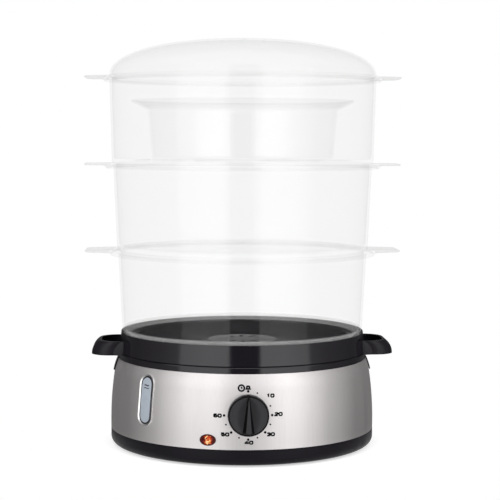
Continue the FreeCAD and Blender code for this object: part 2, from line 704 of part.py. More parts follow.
def heating_element():
    """Ring of tube round three quarters of a circle, with both ends bent down."""
    ring, bend = value("ElementRing"), value("ElementBend")
    height, tube = value("ElementHeight"), value("ElementTube")
    middle = Vector(0, 0, height)

    def on_ring(angle):
        lean = math.radians(angle)
        return middle + Vector(ring * math.cos(lean), ring * math.sin(lean), 0)

    edges = [Part.Arc(on_ring(-45), on_ring(90), on_ring(225)).toShape()]
    for angle, way in ((-45, -1), (225, 1)):
        lean = math.radians(angle)
        along = Vector(-math.sin(lean), math.cos(lean), 0) * way
        end = on_ring(angle)
        corner = end + along * bend
        foot = corner - Vector(0, 0, bend)
        pivot = end - Vector(0, 0, bend)
        half = pivot + (along + Vector(0, 0, 1)).normalize() * bend
        edges.append(Part.Arc(end, half, foot).toShape())
        edges.append(Part.LineSegment(foot, Vector(foot.x, foot.y, 30)).toShape())
    path = Part.Wire(Part.__sortEdges__(edges))
    start = path.OrderedVertexes[0].Point
    circle = Part.Wire(Part.Circle(start, Vector(0, 0, 1), tube).toShape())
    keep("heating_element", made("heating_element", path.makePipeShell([circle], True, True)))


def cable(route, radius):
    """A tube along straight runs joined by tangent arcs."""
    edges = []
    start = route[0]
    for before, corner, after in zip(route, route[1:], route[2:]):
        back, ahead = (before - corner), (after - corner)
        trim = 0.45 * min(back.Length, ahead.Length)
        first = corner + back.normalize() * trim
        last = corner + ahead.normalize() * trim
        half_turn = (math.pi - back.getAngle(ahead)) / 2
        arc_radius = trim / math.tan(half_turn)
        inward = (back + ahead).normalize()
        middle = corner + inward * (math.hypot(trim, arc_radius) - arc_radius)
        edges += [Part.LineSegment(start, first).toShape(),
                  Part.Arc(first, middle, last).toShape()]
        start = last
    edges.append(Part.LineSegment(start, route[-1]).toShape())
    path = Part.Wire(edges)
    heading = (route[1] - route[0]).normalize()
    circle = Part.Wire(Part.Circle(route[0], heading, radius).toShape())
    return path.makePipeShell([circle], True, True)


def internal_leads():
    """Leads from the terminal block to the timer, the heater, the lamp and the earth."""
    leg = value("(ElementRing - ElementBend) * cos(45)")
    pin_back = -value("(ElementRing + ElementBend) * cos(45)")
    stud = value("StudCircle")
    routes = {
        "live": [(-11, 98.8, 14), (-11, 62, 12), (-36, 0, 12), (-42, -66, 12),
                 (-46, -92, 30), (-42, -102, 54), (-33.3, -104, 58)],
        "neutral": [(0, 98.8, 14), (0, 60, 14), (leg + 6, 20, 12), (leg, pin_back + 12, 11),
                    (leg, pin_back, 15), (leg, pin_back, 22)],
        "switched": [(-33.3, -108, 52), (-41, -103, 50), (-42, -90, 30), (-34, -62, 16),
                     (-12, -34, 11), (-leg, pin_back, 14), (-leg, pin_back, 22)],
        "earth": [(11, 98.8, 14), (14, 76, 16), (8, 60, 26), (0, stud + 14, 34),
                  (0, stud + 5, 34.6)],
        "lamp": [(-31, -100, 24), (-33, -90, 20), (-34, -78, 14), (-40, -62, 13)],
    }
    tubes = [cable([Vector(*spot) for spot in route], 1.2) for route in routes.values()]
    keep("internal_leads", made("internal_leads", Part.makeCompound(tubes)))


def terminals():
    rest = "CoverTop + FlangeThick"
    strip = block("terminal_strip", "36", "14", "13", "0", "106", rest)
    spots = [(n, f"{across}", back) for n, (across, back) in enumerate(
        (x, y) for x in (-11, 0, 11) for y in ("102.5", "109.5"))]
    holes = [rod(f"terminal_hole_{n}", "2", "6", x, y, f"{rest} + 9") for n, x, y in spots]
    keep("terminal_block", cut_away("terminal_block", strip, holes))
    screws = [rod(f"terminal_screw_{n}", "2", "3.4", x, y, f"{rest} + 9")
              for n, x, y in spots]
    keep("terminal_screws", grouped("terminal_screws", screws))


# ------------------------------------------------------------------ timer
def timer_case():
    walls = facing("timer_walls", [box_outline(
        "0 - TimerLeft", "TimerRight", "KnobHeight - TimerHalf", "KnobHeight + TimerHalf")],
        "TimerBack", "TimerFront - TimerPlate")
    room = facing("timer_room", [box_outline(
        "1.5 - TimerLeft", "TimerRight - 1.5", "KnobHeight - TimerHalf + 1.5",
        "KnobHeight + TimerHalf - 1.5")], "TimerBack + 1.5", "TimerFront")
    way = rod("case_shaft_way", "ShaftRadius + 0.05", "9", "0", "6 - TimerBack",
              "KnobHeight", "front")
    pivot = rod("case_arbor_way", "1.03", "9", arbor_across(), "6 - TimerBack",
                "KnobHeight", "front")
    keep("timer_case", cut_away("timer_case", walls, [room, way, pivot]))


def arbor_across():
    """Middle distance of the timer's wheel and its pinion."""
    return "GearModule * (WheelTeeth + PinionTeeth) / 2"


def timer_plate():
    sheet_plate = facing("timer_sheet", [box_outline(
        "0 - TimerLeft", "TimerRight", "KnobHeight - TimerHalf", "KnobHeight + TimerHalf")],
        "TimerFront - TimerPlate", "TimerFront")
    start = "4 - TimerFront"
    holes = [rod("plate_shaft_way", "ShaftRadius + 0.05", "9", "0", start, "KnobHeight",
                 "front"),
             rod("plate_arbor_way", "1.03", "9", arbor_across(), start, "KnobHeight",
                 "front")]
    holes += [rod(f"plate_screw_way_{side}", "1.5", "9", f"{side} * TimerScrews", start,
                  "KnobHeight", "front") for side in (-1, 1)]
    keep("timer_plate", cut_away("timer_plate", sheet_plate, holes))


def timer_screws():
    screws = []
    for side in (-1, 1):
        across = f"{side} * TimerScrews"
        head = rod(f"timer_head_{side}", "2.7", "1.7", across,
                   "0 - BandRadius + 0.6", "KnobHeight", "front")
        shank = rod(f"timer_shank_{side}", "1.5", "BandRadius - TimerFront + 0.6", across,
                    "0 - TimerFront + TimerPlate", "KnobHeight", "front")
        screws.append(joined(f"timer_screw_{side}", [head, shank]))
    keep("timer_screws", grouped("timer_screws", screws))


def timer_bell():
    cup = turned("bell_cup", [
        ("0", "6"), ("9", "5"), ("11", "0", "right", "9"), ("10.2", "0"),
        ("8.4", "4.3", "left", "8.2"), ("0", "5.2")])
    post = rod("bell_post", "1.5", "9.6", "TimerRight", "0 - 106", "KnobHeight", "right")
    cup.Placement = Placement(Vector(), Rotation(Vector(0, 1, 0), 90))
    shift(cup, "TimerRight + 3.6", "0 - 106", "KnobHeight")
    keep("timer_bell", joined("timer_bell", [cup, post]))


def timer_switch():
    keep("timer_switch", block("timer_switch", "9", "14", "16", "0 - TimerLeft - 4.5",
                               "0 - 106", "KnobHeight - 1"))


def mainspring():
    """Flat strip wound in half circles about two middles half a pitch apart."""
    strip, pitch, inner, deep = 0.35, 1.8, value("ShaftRadius") + 1.2, 5.0
    outside, inside = [], []
    for half in range(12):
        middle = 0 if half % 2 == 0 else pitch / 2
        way = 1 if half % 2 == 0 else -1
        for edges, radius in ((inside, inner + half * pitch / 2),
                              (outside, inner + strip + half * pitch / 2)):
            spots = [Vector(middle + way * radius, 0, 0), Vector(middle, way * radius, 0),
                     Vector(middle - way * radius, 0, 0)]
            edges.append(Part.Arc(*spots).toShape())
    ends = [Part.LineSegment(inside[0].Vertexes[0].Point, outside[0].Vertexes[0].Point),
            Part.LineSegment(inside[-1].Vertexes[-1].Point, outside[-1].Vertexes[-1].Point)]
    outline = Part.Wire(Part.__sortEdges__(inside + outside + [end.toShape() for end in ends]))
    spring = made("mainspring", Part.Face(outline).extrude(Vector(0, 0, deep)))
    spring.Placement = Placement(Vector(), Rotation(Vector(1, 0, 0), 90))
    keep("mainspring", shift(spring, "0", "0 - TimerBack - 3", "KnobHeight"))


def toothed(teeth, bore, thick, first):
    """A spur wheel with straight-sided teeth, thinner than their gaps for running room."""
    module = value("GearModule")
    pitch_radius = module * teeth / 2
    quarter = math.pi / (2 * teeth)
    corners = []
    for tooth in range(int(teeth)):
        middle = first + 2 * math.pi * tooth / teeth
        for lean, radius in ((-1.38, -1.2), (-0.42, 0.9), (0.42, 0.9), (1.38, -1.2)):
            angle, reach = middle + lean * quarter, pitch_radius + radius * module
            corners.append(Vector(reach * math.cos(angle), reach * math.sin(angle), 0))
    face = Part.Face(Part.makePolygon(corners + corners[:1]))
    wheel = face.extrude(Vector(0, 0, thick))
    return wheel.cut(Part.makeCylinder(bore, thick)) if bore else wheel


def timer_knob():
    knob = turned("timer_knob", [
        ("ShaftRadius", "0.5"), ("6", "0.5"), ("6", "4"), ("KnobRadius - 2.6", "4"),
        ("KnobRadius - 2.6", "0"), ("KnobRadius", "0"),
        ("KnobRadius - 0.4", "KnobDeep - 1.4"),
        ("KnobRadius - 1.8", "KnobDeep", "left", "1.5"),
        ("0", "KnobDeep"), ("0", "6.5"), ("ShaftRadius", "6.5"),
    ])
    grip = new_sketch(knob, "knob_grip_outline", "XY_Plane", [[
        ("0 - 1", "KnobRadius - 1.6"), ("0 - 5.6", "3 - KnobRadius"),
        ("5.6", "3 - KnobRadius", "left", "18"), ("1", "KnobRadius - 1.6")]],
        "KnobDeep - 0.5")
    pad = knob.newObject("PartDesign::Pad", "knob_grip")
    pad.Profile = grip
    pad.setExpression("Length", bound("GripDeep - KnobDeep + 0.5"))
    knob.Placement = Placement(Vector(), Rotation(Vector(1, 0, 0), 90))
    keep("timer_knob", shift(knob, "0", "0 - KnobBack", "KnobHeight"))
    clip = turned("knob_clip", box_outline("6", "6.8", "1", "3"))
    clip.Placement = Placement(Vector(), Rotation(Vector(1, 0, 0), 90))
    keep("knob_clip", shift(clip, "0", "0 - KnobBack", "KnobHeight"))
    keep("timer_shaft", rod("timer_shaft", "ShaftRadius", "KnobBack + 6.5 - TimerBack + 0.5",
                            "0", "0.5 - TimerBack", "KnobHeight", "front"))
    wheel = made("timer_wheel", toothed(value("WheelTeeth"), value("ShaftRadius"), 2, 0))
    wheel.Placement = Placement(Vector(), Rotation(Vector(1, 0, 0), 90))
    keep("timer_wheel", shift(wheel, "0", "0 - TimerFront + 9", "KnobHeight"))


def timer_pinion():
    half_tooth = math.pi / value("PinionTeeth")
    teeth = made("pinion_teeth", toothed(value("PinionTeeth"), 0, 4, math.pi + half_tooth))
    teeth.Placement = Placement(Vector(), Rotation(Vector(1, 0, 0), 90))
    shift(teeth, arbor_across(), "0 - TimerFront + 10", "KnobHeight")
    arbor = rod("pinion_arbor", "1", "TimerFront - TimerBack", arbor_across(),
                "0 - TimerBack", "KnobHeight", "front")
    disc = rod("escape_disc", "6.2", "1.2", arbor_across(), "0 - TimerBack - 4",
               "KnobHeight", "front")
    keep("timer_pinion", joined("timer_pinion", [teeth, arbor, disc]))


# ------------------------------------------------------------------ steam ring and tray
def steam_ring():
    cone = turned("steam_cone", [
        ("SteamRingRadius - 2.3", "TankFloor"), ("SteamRingRadius", "TankFloor"),
        ("SteamRingRadius - 5.5", "SteamRingTop"), ("SteamRingRadius - 7.8", "SteamRingTop")])
    ways = [block("ring_way_first", "12", "120", "6", "0", "0", "TankFloor - 1"),
            block("ring_way_second", "120", "12", "6", "0", "0", "TankFloor - 1")]
    keep("steam_ring", cut_away("steam_ring", cone, ways))


def handle_outline(root, reach, half, flare=None):
    """Handle seen from above: round corners at the tip, and hollow flares at the root."""
    tip = [(f"{reach} - 18", f"0 - ({half})"), (reach, f"18 - ({half})", "left", "18"),
           (reach, f"({half}) - 18"), (f"{reach} - 18", half, "left", "18")]
    if flare is None:
        return [(root, f"0 - ({half})"), *tip, (root, half)]
    bend = f"({root}) + ({flare})"
    return [(root, f"0 - ({half}) - ({flare})"),
            (bend, f"0 - ({half})", "right", f"1.25 * ({flare})"), *tip,
            (bend, half), (root, f"({half}) + ({flare})", "right", f"1.25 * ({flare})")]


def lofted(label, sections):
    """A body lofted through outlines seen from above, each at its own height."""
    body = new_body(label)
    sketches = [new_sketch(body, f"{label}_outline_{number}", "XY_Plane", [loop], rise)
                for number, (loop, rise) in enumerate(sections)]
    loft = body.newObject("PartDesign::AdditiveLoft", label + "_loft")
    loft.Profile = sketches[0]
    loft.Sections = sketches[1:]
    loft.Ruled = False
    return body


def drip_tray():
    inner = "DishRadius - TrayWall"
    dish = turned("tray_dish", [
        ("CollarFoot - TrayWall", "RimTop"), ("CollarFoot - SeamDeep", "RimTop"),
        ("CollarFoot", "RimTop + SeamDeep"),
        ("CollarRadius", "CollarTop"), ("CollarRadius - 2", "CollarTop"),
        ("CollarRadius - 2.2", "LedgeTop"), (inner, "LedgeTop"),
        (inner, "DishBottom + TrayWall"), ("ChimneyRadius", "DishBottom + TrayWall"),
        ("ChimneyRadius", "ChimneyTop"), ("0", "ChimneyTop"), ("0", "ChimneyTop - 2"),
        ("ChimneyRadius - TrayWall", "ChimneyTop - 2"),
        ("ChimneyRadius - TrayWall", "DishBottom"), ("DishRadius", "DishBottom"),
        ("DishRadius", "LedgeTop - TrayWall"),
        ("CollarFoot - TrayWall - 1.2", "LedgeTop - TrayWall"),
    ])
    ribs = [swing(facing(f"tray_rib_{turn}", [box_outline("-1.2", "1.2", "DishBottom",
                                                          "DishBottom + 10")],
                         "DishRadius - 0.6", "TankMouth - 0.9"), f"{turn}")
            for turn in range(0, 360, 60)]
    wall, half, root = "TrayWall", "HandleHalf", "CollarFoot - 18"
    rises = (("HandleBottom", "0", "0"), ("HandleTop - 8", "0.9", "0.6"),
             ("HandleTop - 4", "3", "3"), ("HandleTop", "7.3", "8"))
    outer = lofted("tray_handle", [
        (handle_outline(root, f"HandleReach - {drawn}", half, f"HandleFlare - {eased}"), rise)
        for rise, drawn, eased in rises])
    scoop = lofted("tray_scoop", [
        (handle_outline("CollarFoot - 9", f"HandleReach - {drawn} - {wall}",
                        f"{half} - {wall}"), rise)
        for rise, drawn in (("HandleBottom + TrayWall", "0.4"), ("HandleTop - 8", "1"),
                            ("HandleTop - 4", "3.1"), ("HandleTop + 0.1", "7.5"))])
    clearance = rod("handle_clearance", "CollarFoot + 1.2", "RimTop - 80", "0", "0", "80")
    room = rod("handle_room", "CollarFoot - 1.6", "HandleTop - 79", "0", "0", "80")
    right = cut_away("tray_handle_right", outer, [clearance, room])
    left = doc.addObject("Part::Mirroring", "tray_handle_left")
    left.Source = right
    left.Normal = Vector(1, 0, 0)
    scoop_left = doc.addObject("Part::Mirroring", "tray_scoop_left")
    scoop_left.Source = scoop
    scoop_left.Normal = Vector(1, 0, 0)
    whole = joined("tray_mouldings", [dish, right, left] + ribs)
    slot = box_outline("-1.6", "1.6", "5 - ChimneyRadius", "19 - ChimneyRadius")
    slots = [swing(upright(f"chimney_slot_{turn}", [slot], "ChimneyTop - 5", "8"), f"{turn}")
             for turn in range(0, 360, 30)]
    keep("drip_tray", cut_away("drip_tray", whole, [scoop, scoop_left] + slots))


# ------------------------------------------------------------------ baskets, bowl, lid
def tier_rim(tier):
    return f"(FirstRim + {tier - 1} * TierPitch)"


def basket(tier, name, foot):
    """A basket with a slotted floor, a turned-down flange and two side handles."""
    label = f"basket_{tier}"
    top, flange, rim = f"{name}Top", f"{name}Flange", tier_rim(tier)
    wall = "BasketWall"
    floor = foot["floor"]
    body = turned(label, foot["outline"] + [
        (top, f"{rim} - {wall} - 2"),
        (f"{top} + 2", f"{rim} - {wall}", "right", "2"),
        (f"{flange} - 1.8", f"{rim} - {wall}"),
        (f"{flange} - 1.8", f"{rim} - LipDrop"), (flange, f"{rim} - LipDrop"),
        (flange, f"{rim} - 1"), (f"{flange} - 1", rim, "left", "1"),
        (f"{top} - {wall}", rim),
    ] + foot["inside"])
    wing = new_sketch(body, label + "_wing_outline", "XY_Plane", [[
        (f"sqrt(({top} - 1)^2 - WingRoot^2)", "0 - WingRoot", "right", f"{top} - 1"),
        ("WingTip - 9", "0 - WingEnd - 2"), ("WingTip", "0 - WingEnd + 7", "left", "10"),
        ("WingTip", "WingEnd - 7"), ("WingTip - 9", "WingEnd + 2", "left", "10"),
        (f"sqrt(({top} - 1)^2 - WingRoot^2)", "WingRoot"),
    ]], f"{rim} - {wall}")
    pad = body.newObject("PartDesign::Pad", label + "_wing")
    pad.Profile = wing
    pad.setExpression("Length", bound(wall))
    around(body, pad, wing, 2)
    slots = new_sketch(body, label + "_slots_outline", "XY_Plane", slot_loops(foot["slots"]),
                       f"{floor} + 1")
    pocket = body.newObject("PartDesign::Pocket", label + "_slots")
    pocket.Profile = slots
    pocket.setExpression("Length", bound(f"{wall} + 2"))
    around(body, pocket, slots, 12)
    keep(label, body)


def around(body, feature, sketch, count):
    """Repeat a feature evenly about the upright axis."""
    pattern = body.newObject("PartDesign::PolarPattern", feature.Name + "_around")
    pattern.Originals = [feature]
    pattern.Axis = (sketch, ["N_Axis"])
    pattern.Angle = 360
    pattern.Occurrences = count
    body.Tip = pattern


def slot_loops(last):
    """Round-ended slots for one twelfth of a floor, the outer ones up to last."""
    rows = (("26", "50", "0"), ("60", "82", "8.5"), ("60", "82", "0 - 8.5"),
            ("90", last, "0"), ("90", last, "15"), ("90", last, "0 - 15"))
    half = "SlotWide / 2"
    return [[(near, f"{side} - {half}", "half"), (far, f"{side} - {half}"),
             (far, f"{side} + {half}", "half"), (near, f"{side} + {half}")]
            for near, far, side in rows]


def nested_foot(tier, below, name):
    """Foot of an upper basket: a locating ring, a flat seat and a straight wall."""
    start = tier_rim(tier - 1)
    ring = f"({below}Top - BasketWall - NestGap)"
    foot, wall = f"{name}Foot", "BasketWall"
    floor = f"{start} + FloorRise"
    outline = [
        ("0", f"{floor} - {wall}"), (f"{ring} - 1.8", f"{floor} - {wall}"),
        (f"{ring} - 1.8", f"{start} - NestDrop"), (ring, f"{start} - NestDrop"),
        (ring, start), (foot, start)]
    inside = [(f"{foot} - {wall}", f"{floor} + 3"),
              (f"{foot} - {wall} - 3", floor, "right", "3"), ("0", floor)]
    return {"outline": outline, "inside": inside, "floor": floor, "slots": "106"}


def baskets():
    wall = "BasketWall"
    first = {
        "outline": [("0", "LedgeTop"), ("FirstFoot - FirstRound", "LedgeTop"),
                    ("FirstFoot", "LedgeTop + FirstRound", "left", "FirstRound")],
        "inside": [(f"FirstFoot - {wall}", "LedgeTop + FirstRound"),
                   ("FirstFoot - FirstRound", f"LedgeTop + {wall}", "right",
                    f"FirstRound - {wall}"),
                   ("0", f"LedgeTop + {wall}")],
        "floor": f"LedgeTop + {wall}", "slots": "102",
    }
    basket(1, "First", first)
    basket(2, "Second", nested_foot(2, "First", "Second"))
    basket(3, "Third", nested_foot(3, "Second", "Third"))


def rice_bowl():
    low = f"({tier_rim(2)} + FloorRise)"
    keep("rice_bowl", turned("rice_bowl", [
        ("0", low), ("BowlFoot - 3", low), ("BowlFoot", f"{low} + 3", "left", "3"),
        ("BowlNeck", f"{low} + BowlNeckRise"), ("BowlRim", f"{low} + BowlRimRise"),
        ("BowlRim - 0.7", f"{low} + BowlRimRise + 1.9"),
        ("BowlNeck - 1.4", f"{low} + BowlNeckRise + 1.7"),
        ("BowlFoot - 2", f"{low} + 3"),
        ("BowlFoot - 3", f"{low} + 2", "right", "1"), ("0", f"{low} + 2"),
    ]))


def dome_curve(radius, rise, start):
    """Spline on the rounded dome (r / radius)^p + (z / rise)^p = 1, from its top down."""
    power = 2 / value("LidPower")
    count = 16
    spots = []
    for step in range(count + 1):
        lean = math.pi / 2 * step / count
        across = radius * abs(math.sin(lean)) ** power
        up = rise * abs(math.cos(lean)) ** power if step < count else 0
        spots.append(Vector(across, 0, start + up))
    curve = Part.BSplineCurve()
    curve.interpolate(Points=spots, InitialTangent=Vector(1, 0, 0),
                      FinalTangent=Vector(0, 0, -1))
    return curve.toShape()


def lid():
    start, wall = value(tier_rim(3)), value("BasketWall")
    radius, rise = value("LidRadius"), value("LidRise")
    outside = dome_curve(radius, rise, start)
    inside = dome_curve(radius - wall, rise - wall, start)
    ends = [Part.LineSegment(Vector(radius, 0, start), Vector(radius - wall, 0, start)),
            Part.LineSegment(Vector(0, 0, start + rise), Vector(0, 0, start + rise - wall))]
    outline = Part.Wire(Part.__sortEdges__([outside, inside] + [end.toShape() for end in ends]))
    shell = Part.Face(outline).revolve(Vector(), Vector(0, 0, 1), 360)
    dome = made("lid_dome", shell if shell.Volume > 0 else shell.reversed())
    ring = "(ThirdTop - BasketWall - NestGap)"
    seat = turned("lid_ring", [
        (f"{ring} - 1.8", f"{tier_rim(3)} - NestDrop"), (ring, f"{tier_rim(3)} - NestDrop"),
        (ring, tier_rim(3)), ("LidRadius - 1", tier_rim(3)),
        ("LidRadius - 1", f"{tier_rim(3)} + 1.8"), (f"{ring} - 1.8", f"{tier_rim(3)} + 1.8")])
    vents = round_about(lambda n, x, y: rod(f"vent_{n}", "2", "20", x, y,
                                            f"{tier_rim(3)} + LidRise - 15"), 6, "24", "30")
    keep("lid", cut_away("lid", joined("lid_mouldings", [dome, seat]), vents))


# ------------------------------------------------------------------ write the pieces
def broken(items):
    """Labels of the items that failed to compute, or have no sound shape."""
    labels = [item.Label for item in items if {"Invalid", "Error"} & set(item.State)]
    for label, piece in pieces.items():
        if piece.Shape.isNull() or not piece.Shape.isValid() or not piece.Shape.Solids:
            labels.append(label)
    return labels


for build in (base_housing, steel_band, bottom_cover, rubber_feet, cover_screws, tank_screws,
              water_tank, water_window, window_frame, gauge_seals, lamp, cord_gland, heater,
              heating_element, internal_leads, terminals, timer_case, timer_plate,
              timer_screws, timer_bell, timer_switch, mainspring, timer_knob, timer_pinion,
              steam_ring, drip_tray, baskets, rice_bowl, lid):
    build()
doc.recompute()
faults = broken(doc.Objects)
if faults:
    raise RuntimeError("these did not compute: " + ", ".join(faults))
os.makedirs("parts", exist_ok=True)
for label, piece in pieces.items():
    piece.Shape.exportStep(f"parts/{label}.step")
    box = piece.Shape.optimalBoundingBox(True)
    print(f"{label:20s} {len(piece.Shape.Solids):2d} solids {piece.Shape.Volume / 1000:9.2f} cm3"
          f"  x {box.XMin:7.1f}{box.XMax:7.1f}  y {box.YMin:7.1f}{box.YMax:7.1f}"
          f"  z {box.ZMin:6.1f}{box.ZMax:6.1f}")
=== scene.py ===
"""Looks of the three-tier electric food steamer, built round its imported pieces.

Lengths are in metres in the steamer's own frame: the origin is the middle of the base
where it stands, +Z is up and -Y is the front with the timer knob.
"""
import math

import bmesh
import bpy
import numpy as np
from mathutils import Matrix, Vector
from mathutils.geometry import delaunay_2d_cdt


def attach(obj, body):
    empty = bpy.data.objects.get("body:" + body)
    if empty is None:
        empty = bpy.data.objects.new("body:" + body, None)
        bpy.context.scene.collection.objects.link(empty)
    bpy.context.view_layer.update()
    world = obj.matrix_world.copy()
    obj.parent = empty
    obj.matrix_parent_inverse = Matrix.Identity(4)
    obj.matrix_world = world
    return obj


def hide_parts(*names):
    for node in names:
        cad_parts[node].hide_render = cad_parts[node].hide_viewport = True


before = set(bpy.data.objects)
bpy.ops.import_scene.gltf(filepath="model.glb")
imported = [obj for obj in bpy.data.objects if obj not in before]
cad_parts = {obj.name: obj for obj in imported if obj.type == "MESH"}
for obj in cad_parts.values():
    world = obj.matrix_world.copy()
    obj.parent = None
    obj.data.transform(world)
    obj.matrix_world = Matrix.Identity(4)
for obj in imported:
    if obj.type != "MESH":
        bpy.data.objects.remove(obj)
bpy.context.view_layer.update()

# ---------------------------------------------------------------- camera
# A long lens at table height, a little to the left of the knob and looking slightly down.
STAND_OFF, EYE_HEIGHT, EYE_LEFT = 1.5, 0.3011, 2.6
PITCH, SWING, ROLL = 4.17, 0.29, 0.2
eye = bpy.data.cameras.new("eye")
eye.lens, eye.sensor_width, eye.clip_start = 108.8, 36.0, 0.05
camera = bpy.data.objects.new("camera", eye)
bpy.context.scene.collection.objects.link(camera)
left = math.radians(EYE_LEFT)
camera.matrix_world = (
    Matrix.Translation((-STAND_OFF * math.sin(left), -STAND_OFF * math.cos(left), EYE_HEIGHT))
    @ Matrix.Rotation(-math.radians(EYE_LEFT + SWING), 4, "Z")
    @ Matrix.Rotation(math.radians(90 - PITCH), 4, "X")
    @ Matrix.Rotation(math.radians(ROLL), 4, "Z"))
bpy.context.scene.camera = camera
bpy.context.scene.view_settings.view_transform = "Standard"
bpy.context.scene.cycles.transparent_max_bounces = 40


# ---------------------------------------------------------------- studio
# Two tall softboxes, brighter towards their tops, stand either side of the camera with a
# dark gap between them, a third hangs overhead and the room behind them is dim. The
# backdrop itself is white.
def linear(code):
    """An sRGB hex colour such as 'e8e6e4' as linear red, green and blue, with full alpha."""
    parts = np.array([int(code[n:n + 2], 16) for n in (0, 2, 4)]) / 255
    parts = np.where(parts <= 0.04045, parts / 12.92, ((parts + 0.055) / 1.055) ** 2.4)
    return (*parts.tolist(), 1.0)


def node(tree, kind, sockets=None, **settings):
    """Add a node: settings are its own choices, sockets hold a value or a link each."""
    made = tree.nodes.new("ShaderNode" + kind)
    for name, choice in settings.items():
        setattr(made, name, choice)
    for place, content in (sockets or {}).items():
        if isinstance(content, bpy.types.Node):
            content = content.outputs[0]
        if isinstance(content, bpy.types.NodeSocket):
            tree.links.new(content, made.inputs[place])
        else:
            made.inputs[place].default_value = content
    return made


def ramp(tree, factor, stops):
    """A straight colour ramp through (place, brightness or colour) stops."""
    made = node(tree, "ValToRGB", {"Fac": factor})
    while len(made.color_ramp.elements) < len(stops):
        made.color_ramp.elements.new(0.5)
    for element, (place, shade) in zip(made.color_ramp.elements, stops):
        element.position = place
        element.color = shade if isinstance(shade, tuple) else (shade, shade, shade, 1)
    return made


# Brightness round the room, from the front (0) to the back (1), as shares of BOX_LEVEL. It
# grows from LOW_SHARE at BOX_FOOT, a little under eye level, to HIGH_SHARE at BOX_HEAD.
BOX_LEVEL, LOW_SHARE, HIGH_SHARE = 1.8, 0.85, 1.17
BOX_FOOT, BOX_HEAD = -0.2, 0.3
# The overhead box fades in between these slopes of the ray, where 1 is straight up.
OVERHEAD_GREY, OVERHEAD_FROM, OVERHEAD_TO = (0.6, 0.6, 0.6, 1), 0.72, 0.86
ROOM = [(0.0, 0.04), (0.074, 0.04), (0.082, 1.08), (0.2, 1.1), (0.335, 0.88), (0.352, 0.34),
        (0.45, 0.2), (0.56, 0.12), (0.66, 0.06), (0.75, 0.05), (0.92, 0.05), (1.0, 0.14)]
world = bpy.data.worlds.new("studio")
world.use_nodes = True
bpy.context.scene.world = world
tree = world.node_tree
tree.nodes.clear()
way = node(tree, "SeparateXYZ", {0: node(tree, "TexCoord").outputs["Generated"]})
ahead = node(tree, "Math", {0: way.outputs["Y"], 1: -1.0}, operation="MULTIPLY")
turn = node(tree, "Math", {0: way.outputs["X"], 1: ahead}, operation="ARCTAN2")
share = node(tree, "Math", {0: turn}, operation="ABSOLUTE")
share = node(tree, "Math", {0: share, 1: math.pi}, operation="DIVIDE")
room = ramp(tree, share, ROOM)
overhead = node(tree, "MapRange", {0: way.outputs["Z"], 1: OVERHEAD_FROM, 2: OVERHEAD_TO},
                interpolation_type="SMOOTHSTEP")
room = node(tree, "Mix", {0: overhead, 6: room, 7: OVERHEAD_GREY}, data_type="RGBA")
path = node(tree, "LightPath")
seen = node(tree, "Math", {0: path.outputs["Is Camera Ray"],
                           1: path.outputs["Is Transmission Ray"]}, operation="MAXIMUM")
level = node(tree, "MapRange", {0: way.outputs["Z"], 1: BOX_FOOT, 2: BOX_HEAD,
                                3: LOW_SHARE * BOX_LEVEL, 4: HIGH_SHARE * BOX_LEVEL})
studio = node(tree, "Background", {0: room.outputs[2], 1: level})
white = node(tree, "Background", {0: (1, 1, 1, 1), 1: 1.0})
mixed = node(tree, "MixShader", {0: seen, 1: studio, 2: white})
node(tree, "OutputWorld", {0: mixed})


# ---------------------------------------------------------------- table top
# A small round white table top. It shows white away from the steamer and keeps the steamer's real
# shadow.
# Its white lift also fades out under the base's edge, which paints a shadow there, deepest where
# the table lies under the base.
def new_mesh(name, points, faces):
    """A smooth mesh object at the origin from rows of points and rows of corner numbers."""
    mesh = bpy.data.meshes.new(name)
    mesh.from_pydata([tuple(p) for p in np.asarray(points, float)], [],
                     [tuple(int(c) for c in f) for f in faces])
    mesh.polygons.foreach_set("use_smooth", np.full(len(mesh.polygons), True))
    mesh.update()
    made = bpy.data.objects.new(name, mesh)
    bpy.context.scene.collection.objects.link(made)
    return made


def new_material(name):
    """An empty node material and its tree."""
    made = bpy.data.materials.new(name)
    made.use_nodes = True
    made.node_tree.nodes.clear()
    return made, made.node_tree


TABLE_RADIUS, TABLE_LIFT, TABLE_TOP = 0.165, 0.68, -0.00005
PAINTED_SHADOW_FROM, PAINTED_SHADOW_TO = 0.1, 0.126
edge = np.linspace(0, 2 * np.pi, 96, endpoint=False)
table = new_mesh("table_top", np.stack([TABLE_RADIUS * np.cos(edge), TABLE_RADIUS * np.sin(edge),
                                        np.full_like(edge, TABLE_TOP)], 1), [range(len(edge))])
paper, tree = new_material("white_paper")
path = node(tree, "LightPath")
seen = node(tree, "Math", {0: path.outputs["Is Camera Ray"],
                           1: path.outputs["Is Glossy Ray"]}, operation="MAXIMUM")
away = node(tree, "VectorMath", {0: node(tree, "TexCoord").outputs["Object"]},
            operation="LENGTH").outputs["Value"]
# Painted shadow: the lift is taken away near the middle, under the base's edge.
lift_past_painted_shadow = node(tree, "MapRange", {0: away, 1: PAINTED_SHADOW_FROM, 2: PAINTED_SHADOW_TO, 3: 0.0,
                                      4: TABLE_LIFT})
lift = node(tree, "Math", {0: seen, 1: lift_past_painted_shadow}, operation="MULTIPLY")
glow = node(tree, "Emission", {0: (1, 1, 1, 1), 1: lift})
matt = node(tree, "BsdfDiffuse", {0: linear("c4c4c4")})
node(tree, "OutputMaterial", {0: node(tree, "AddShader", {0: matt, 1: glow})})
table.data.materials.append(paper)


# ---------------------------------------------------------------- black mouldings
# Tank, drip tray and steam ring are injection moulded black polypropylene, nearly mirror
# gloss with a faint orange peel. The tray's grips have a satin texture, and the housing,
# its cover and the inlet gland a fine matt one.
def dress(material, *names):
    """Give CAD pieces a material."""
    for name in names:
        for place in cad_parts[name].material_slots:
            place.material = material


def finish_with(tree, sockets):
    """End a material in one Principled shader with these sockets."""
    node(tree, "OutputMaterial", {0: node(tree, "BsdfPrincipled", sockets)})


